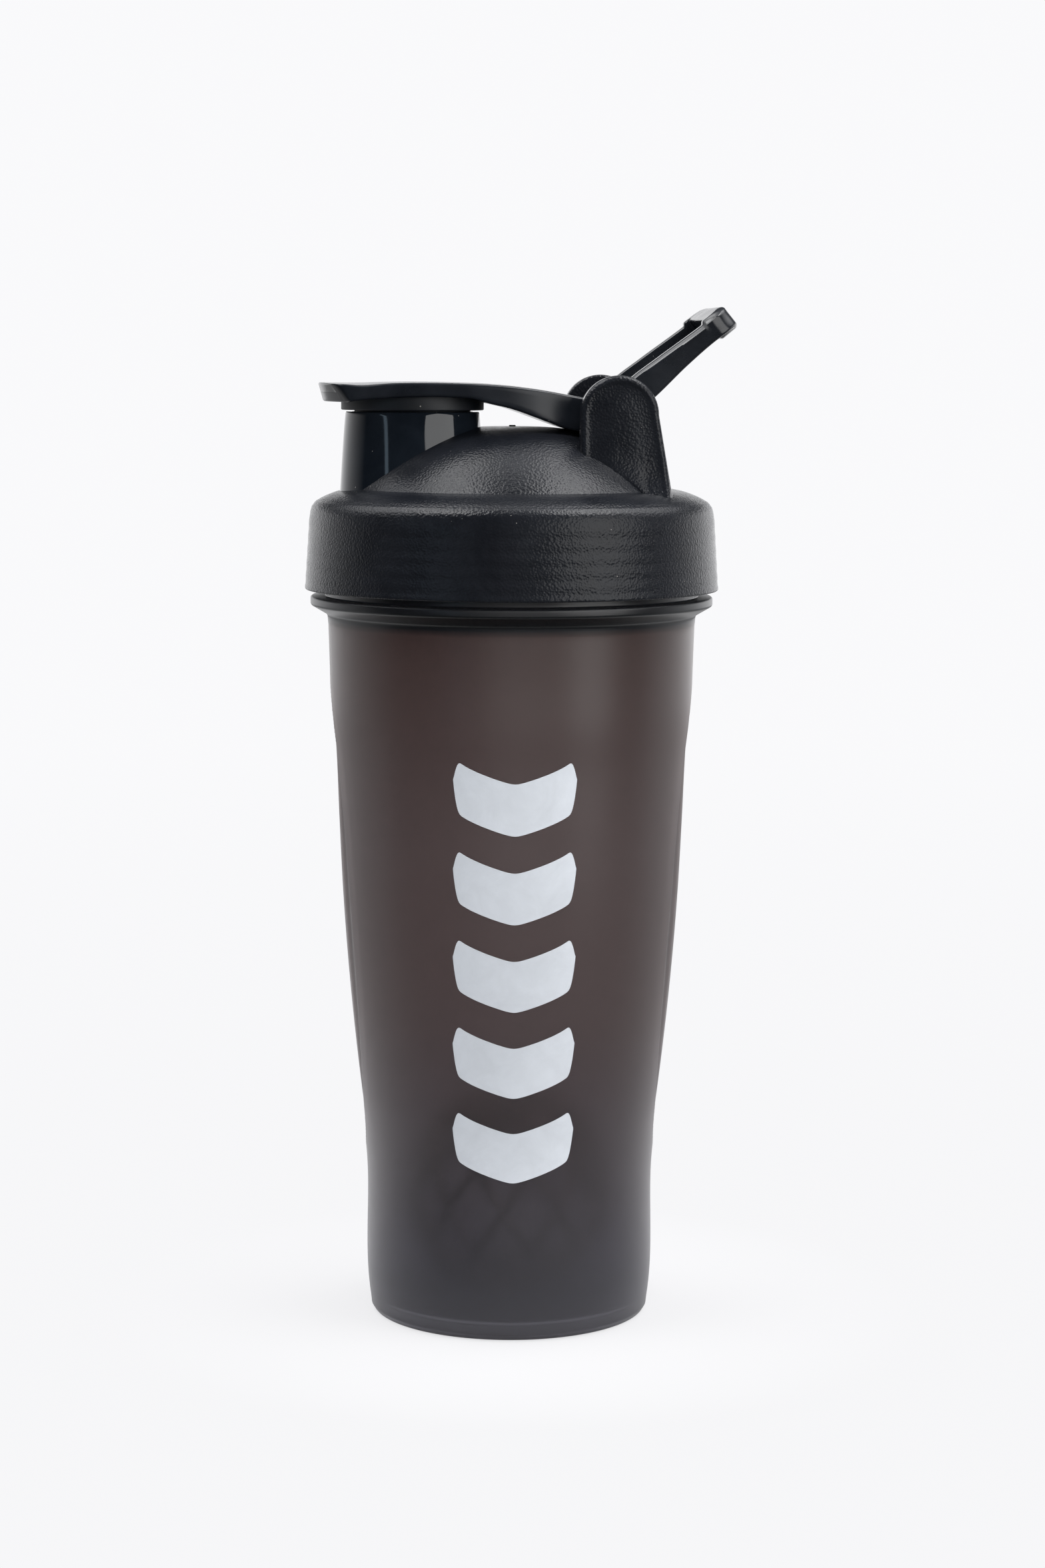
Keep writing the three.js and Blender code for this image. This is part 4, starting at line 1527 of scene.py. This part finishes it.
PATCHES = (
    Patch(180, 66, 4, 24, 0.3),
    Patch(-104, 56, 10, 36, 3.2),
    Patch(104, 56, 10, 36, 3.4),
)
SOFTBOXES = (
    Softbox("key", 49, 0.34, 0.9, (0.7, 0.7), 4.3, (1.0, 0.995, 0.985)),
    Softbox("fill", -42, 0.3, 1.0, (0.07, 0.7), 0.25, (0.62, 0.82, 1.0)),
    Softbox("behind_right", 121, 1.15, 0.42, (0.34, 0.34), 1.0),
    Softbox("behind_left", -124, 1.15, 0.39, (0.34, 0.34), 0.85),
    Softbox("over_right", 62, 1.0, 0.45, (0.36, 0.3), 3.0),
    Softbox("over_left", -58, 1.0, 0.45, (0.36, 0.3), 2.7),
    Softbox("front", 4, 0.5, 1.5, (1.2, 1.0), 10.0, mirrored=False),
)


@dataclass(frozen=True)
class StudioFloor(Finish):
    """The floor's finish: pale near the bottle, fading into a glow like the surround's, which the camera
    sees a little dimmer near the bottle as painted shade.
    """

    def dress(self, graph: NodeGraph, shader: Inputs, groups: EffectGroups) -> None:
        """Wires the pale surface and the glow, which is dim in front except to the camera; to the camera it
        is dimmed near the bottle as painted shade.

        Args:
            graph: the material's graph.
            shader: the shader's inputs.
            groups: the shared effects, which the floor doesn't use.
        """
        nodes = graph.tree.nodes
        graph.wire((0.7, 0.7, 0.71), shader["Base Color"])
        graph.wire(0.6, shader["Roughness"])
        graph.wire(0.2, shader["Specular IOR Level"])
        place = graph.place()
        axes = graph.axes(place)
        away = graph.add("ShaderNodeVectorMath", operation="LENGTH")
        graph.wire(place, away.inputs[0])
        beside = graph.spread(graph.math("ABSOLUTE", axes["X"]), 0.1, 0.3, 1.0, 0.5)
        behind = graph.spread(axes["Y"], -0.12, 0.06, 0.1, 1.0)
        # painted shade round the bottle: the glow the camera sees falls from 0.965 far out to 0.94 near the
        # bottle
        painted_shade_glow = graph.spread(away.outputs["Value"], 0.1, 1.2, 0.94, BACKDROP_SEEN)
        glow = graph.add("ShaderNodeEmission")
        graph.wire(BACKDROP, glow.inputs["Color"])
        graph.wire(graph.by_ray(painted_shade_glow, graph.math("MULTIPLY", beside, behind)), glow.inputs["Strength"])
        mix = graph.add("ShaderNodeMixShader")
        graph.wire(graph.spread(away.outputs["Value"], 0.03, 0.1, 0.7, 1.0), mix.inputs[0])
        graph.wire(nodes["Principled BSDF"].outputs[0], mix.inputs[1])
        graph.wire(glow.outputs[0], mix.inputs[2])
        graph.wire(mix.outputs[0], nodes["Material Output"].inputs["Surface"])


@dataclass
class Studio:
    """A bright cyclorama with a dim front, seven soft lights, the floor and the camera."""

    camera_mm: tuple[float, float, float] = (-64.0, -813.5, 227.8)
    pitch: float = 0.1224
    yaw: float = 0.0034
    roll: float = 0.0045
    azimuth_degrees: float = 4.5
    lens: float = 78.87
    aim_height: float = 0.16

    def direction(self, azimuth: float, elevation: float = 0.0) -> Vector:
        """The way from the bottle towards a place round it.

        Args:
            azimuth: degrees to the right of the camera, seen from the bottle.
            elevation: degrees above the horizon.

        Returns:
            A unit vector.
        """
        a, e = math.radians(azimuth - self.azimuth_degrees), math.radians(elevation)
        return Vector((math.sin(a) * math.cos(e), -math.cos(a) * math.cos(e), math.sin(e)))

    def world(self) -> None:
        """White for the camera; other rays see a low bright wall behind, soft patches above, a dim front.

        The wall's brightness rises in proportion to how far backwards a direction points, and
        fades out above the horizon; the patches stand over the back and both sides.
        """
        world = bpy.data.worlds.new("studio")
        bpy.context.scene.world = world
        world.use_nodes = True
        graph = NodeGraph(world.node_tree)
        world.node_tree.nodes.clear()
        place = graph.place("Generated")
        axes = graph.axes(place)
        straight = graph.math("MULTIPLY", axes["Y"], 0.997)
        back = graph.math("ADD", straight, graph.math("MULTIPLY", axes["X"], 0.078))
        low = graph.spread(axes["Z"], 0.14, 0.3, 1.0, 0.05)
        low = graph.math("MULTIPLY", low, graph.spread(axes["X"], -0.8, 0.8, 0.78, 1.0))
        level = graph.math("MULTIPLY", graph.spread(back, -0.12, 0.75, 0.0, 1.6), low)
        for patch in PATCHES:
            toward = graph.add("ShaderNodeVectorMath", operation="DOT_PRODUCT")
            graph.wire(place, toward.inputs[0])
            toward.inputs[1].default_value = self.direction(patch.azimuth, patch.elevation)
            outer, inner = (math.cos(math.radians(angle)) for angle in (patch.outer, patch.inner))
            shape = graph.spread(toward.outputs["Value"], outer, inner)
            level = graph.math("ADD", level, graph.math("MULTIPLY", shape, patch.strength))
        level = graph.math("ADD", level, 0.012)
        glow = graph.add("ShaderNodeBackground")
        graph.wire(BACKDROP, glow.inputs["Color"])
        graph.wire(graph.by_ray(BACKDROP_SEEN, level), glow.inputs["Strength"])
        graph.wire(glow.outputs[0], graph.add("ShaderNodeOutputWorld").inputs["Surface"])

    def light(self, box: Softbox) -> None:
        """Places a softbox.

        Args:
            box: its place, size, power and colour.
        """
        lamp = bpy.data.lights.new(box.name, "AREA")
        lamp.shape = "RECTANGLE"
        lamp.size, lamp.size_y = box.size
        lamp.energy = box.watts
        lamp.color = box.colour
        made = bpy.data.objects.new(box.name, lamp)
        bpy.context.scene.collection.objects.link(made)
        made.location = self.direction(box.azimuth) * box.distance + Vector((0, 0, box.height))
        aim = Vector((0, 0, self.aim_height)) - made.location
        made.rotation_euler = aim.to_track_quat("-Z", "Z").to_euler()
        made.visible_glossy = box.mirrored

    def floor(self, groups: EffectGroups) -> None:
        """A wide thin disc whose top lies just below the bottle's foot.

        Args:
            groups: the shared effects.
        """
        top, bottom, reach = -0.15, -2.15, 1400
        rings = np.array(
            [[0.5, top], [200, top], [700, top], [reach, top], [reach, bottom], [0.5, bottom]]
        )
        disc = make_piece("studio_floor", [Surface(lathe(rings, turns(96)))])
        disc.data.materials.append(StudioFloor("studio_floor").make(groups))

    def camera(self) -> None:
        """Places the camera from its pitch, yaw and roll about the azimuth it looks along."""
        data = bpy.data.cameras.new("camera")
        data.lens, data.sensor_width, data.sensor_fit = self.lens, 36.0, "AUTO"
        data.clip_start, data.clip_end = 0.01, 20
        made = bpy.data.objects.new("camera", data)
        bpy.context.scene.collection.objects.link(made)
        p, w = self.pitch, self.yaw
        forward = Vector((math.sin(w) * math.cos(p), math.cos(w) * math.cos(p), -math.sin(p)))
        right = Vector((math.cos(w), -math.sin(w), 0))
        up = right.cross(forward)
        turned_right = right * math.cos(self.roll) + up * math.sin(self.roll)
        turned_up = up * math.cos(self.roll) - right * math.sin(self.roll)
        matrix = Matrix((turned_right, turned_up, -forward)).transposed().to_4x4()
        spin = Matrix.Rotation(-math.radians(self.azimuth_degrees), 4, "Z")
        made.matrix_world = Matrix.Translation(Vector(self.camera_mm) * MM) @ spin @ matrix
        bpy.context.scene.camera = made

    def build(self, groups: EffectGroups) -> None:
        """Sets the surround, lights, floor, camera and a plain view transform.

        Args:
            groups: the shared effects.
        """
        self.world()
        for box in SOFTBOXES:
            self.light(box)
        self.floor(groups)
        self.camera()
        bpy.context.scene.view_settings.view_transform = "Standard"
        log.info("studio: surround, %d lights, floor and camera", len(SOFTBOXES))


# ---------------------------------------------------------------- everything together


LID_GRAIN = BlackPlastic(
    "lid_grain", colour=(0.0075, 0.0085, 0.0112), roughness=0.2, grain_density=1800.0,
    grain_depth_mm=0.085, specular=0.24, dust_size=0.05,
)
SPOUT_POLISH = BlackPlastic(
    "spout_polish", colour=(0.006, 0.0085, 0.0125), roughness=0.05, wear=0.05, grain_depth_mm=0.0002
)
CAP_SATIN = BlackPlastic(
    "cap_satin", colour=(0.0065, 0.008, 0.011), roughness=0.2, grain_depth_mm=0.0008,
    specular=0.35, dust_size=0.04,
)
CAP_SEAL = BlackPlastic("cap_seal", colour=(0.006, 0.0075, 0.01), roughness=0.5, grain_depth_mm=0.006)
LOOP_GLOSS = BlackPlastic(
    "loop_gloss", colour=(0.008, 0.0095, 0.0125), roughness=0.17, grain_depth_mm=0.0004, dust_size=0.04
)
GASKET_RUBBER = BlackPlastic(
    "gasket_rubber", colour=(0.05, 0.05, 0.054), roughness=0.6, grain_depth_mm=0.01
)
PRINT_INK = WornTint("print_ink", 120.0, (0.78, 0.82, 0.88), (0.702, 0.738, 0.792), (0.42, 0.55))
WHISK_WIRE = WornTint(
    "whisk_wire", 160.0, (0.62, 0.61, 0.59), (0.52, 0.51, 0.50), (0.22, 0.36), metallic=1.0
)


def main() -> None:
    """Builds the bottle's pieces in order, then the studio."""
    logging.basicConfig(level=logging.INFO, format="%(name)s: %(message)s")
    at = FrameMeasures.read()
    groups = EffectGroups()
    # the painted shade under the lid starts COLLAR_HEIGHT below the collar's top
    smoky = SmokyPlastic("smoky_cup", (at.collar_top - COLLAR_HEIGHT) * MM)
    Cup(at).build(smoky, PRINT_INK, groups)
    WhiskBall(at).build(WHISK_WIRE, groups)
    Gasket(at).build(GASKET_RUBBER, groups)
    Lid(at).build(LID_GRAIN, SPOUT_POLISH, groups)
    FlipCap(at).build(CAP_SATIN, CAP_SEAL, groups)
    CarryLoop(at).build(LOOP_GLOSS, groups)
    Studio().build(groups)


if __name__ == "__main__":
    main()
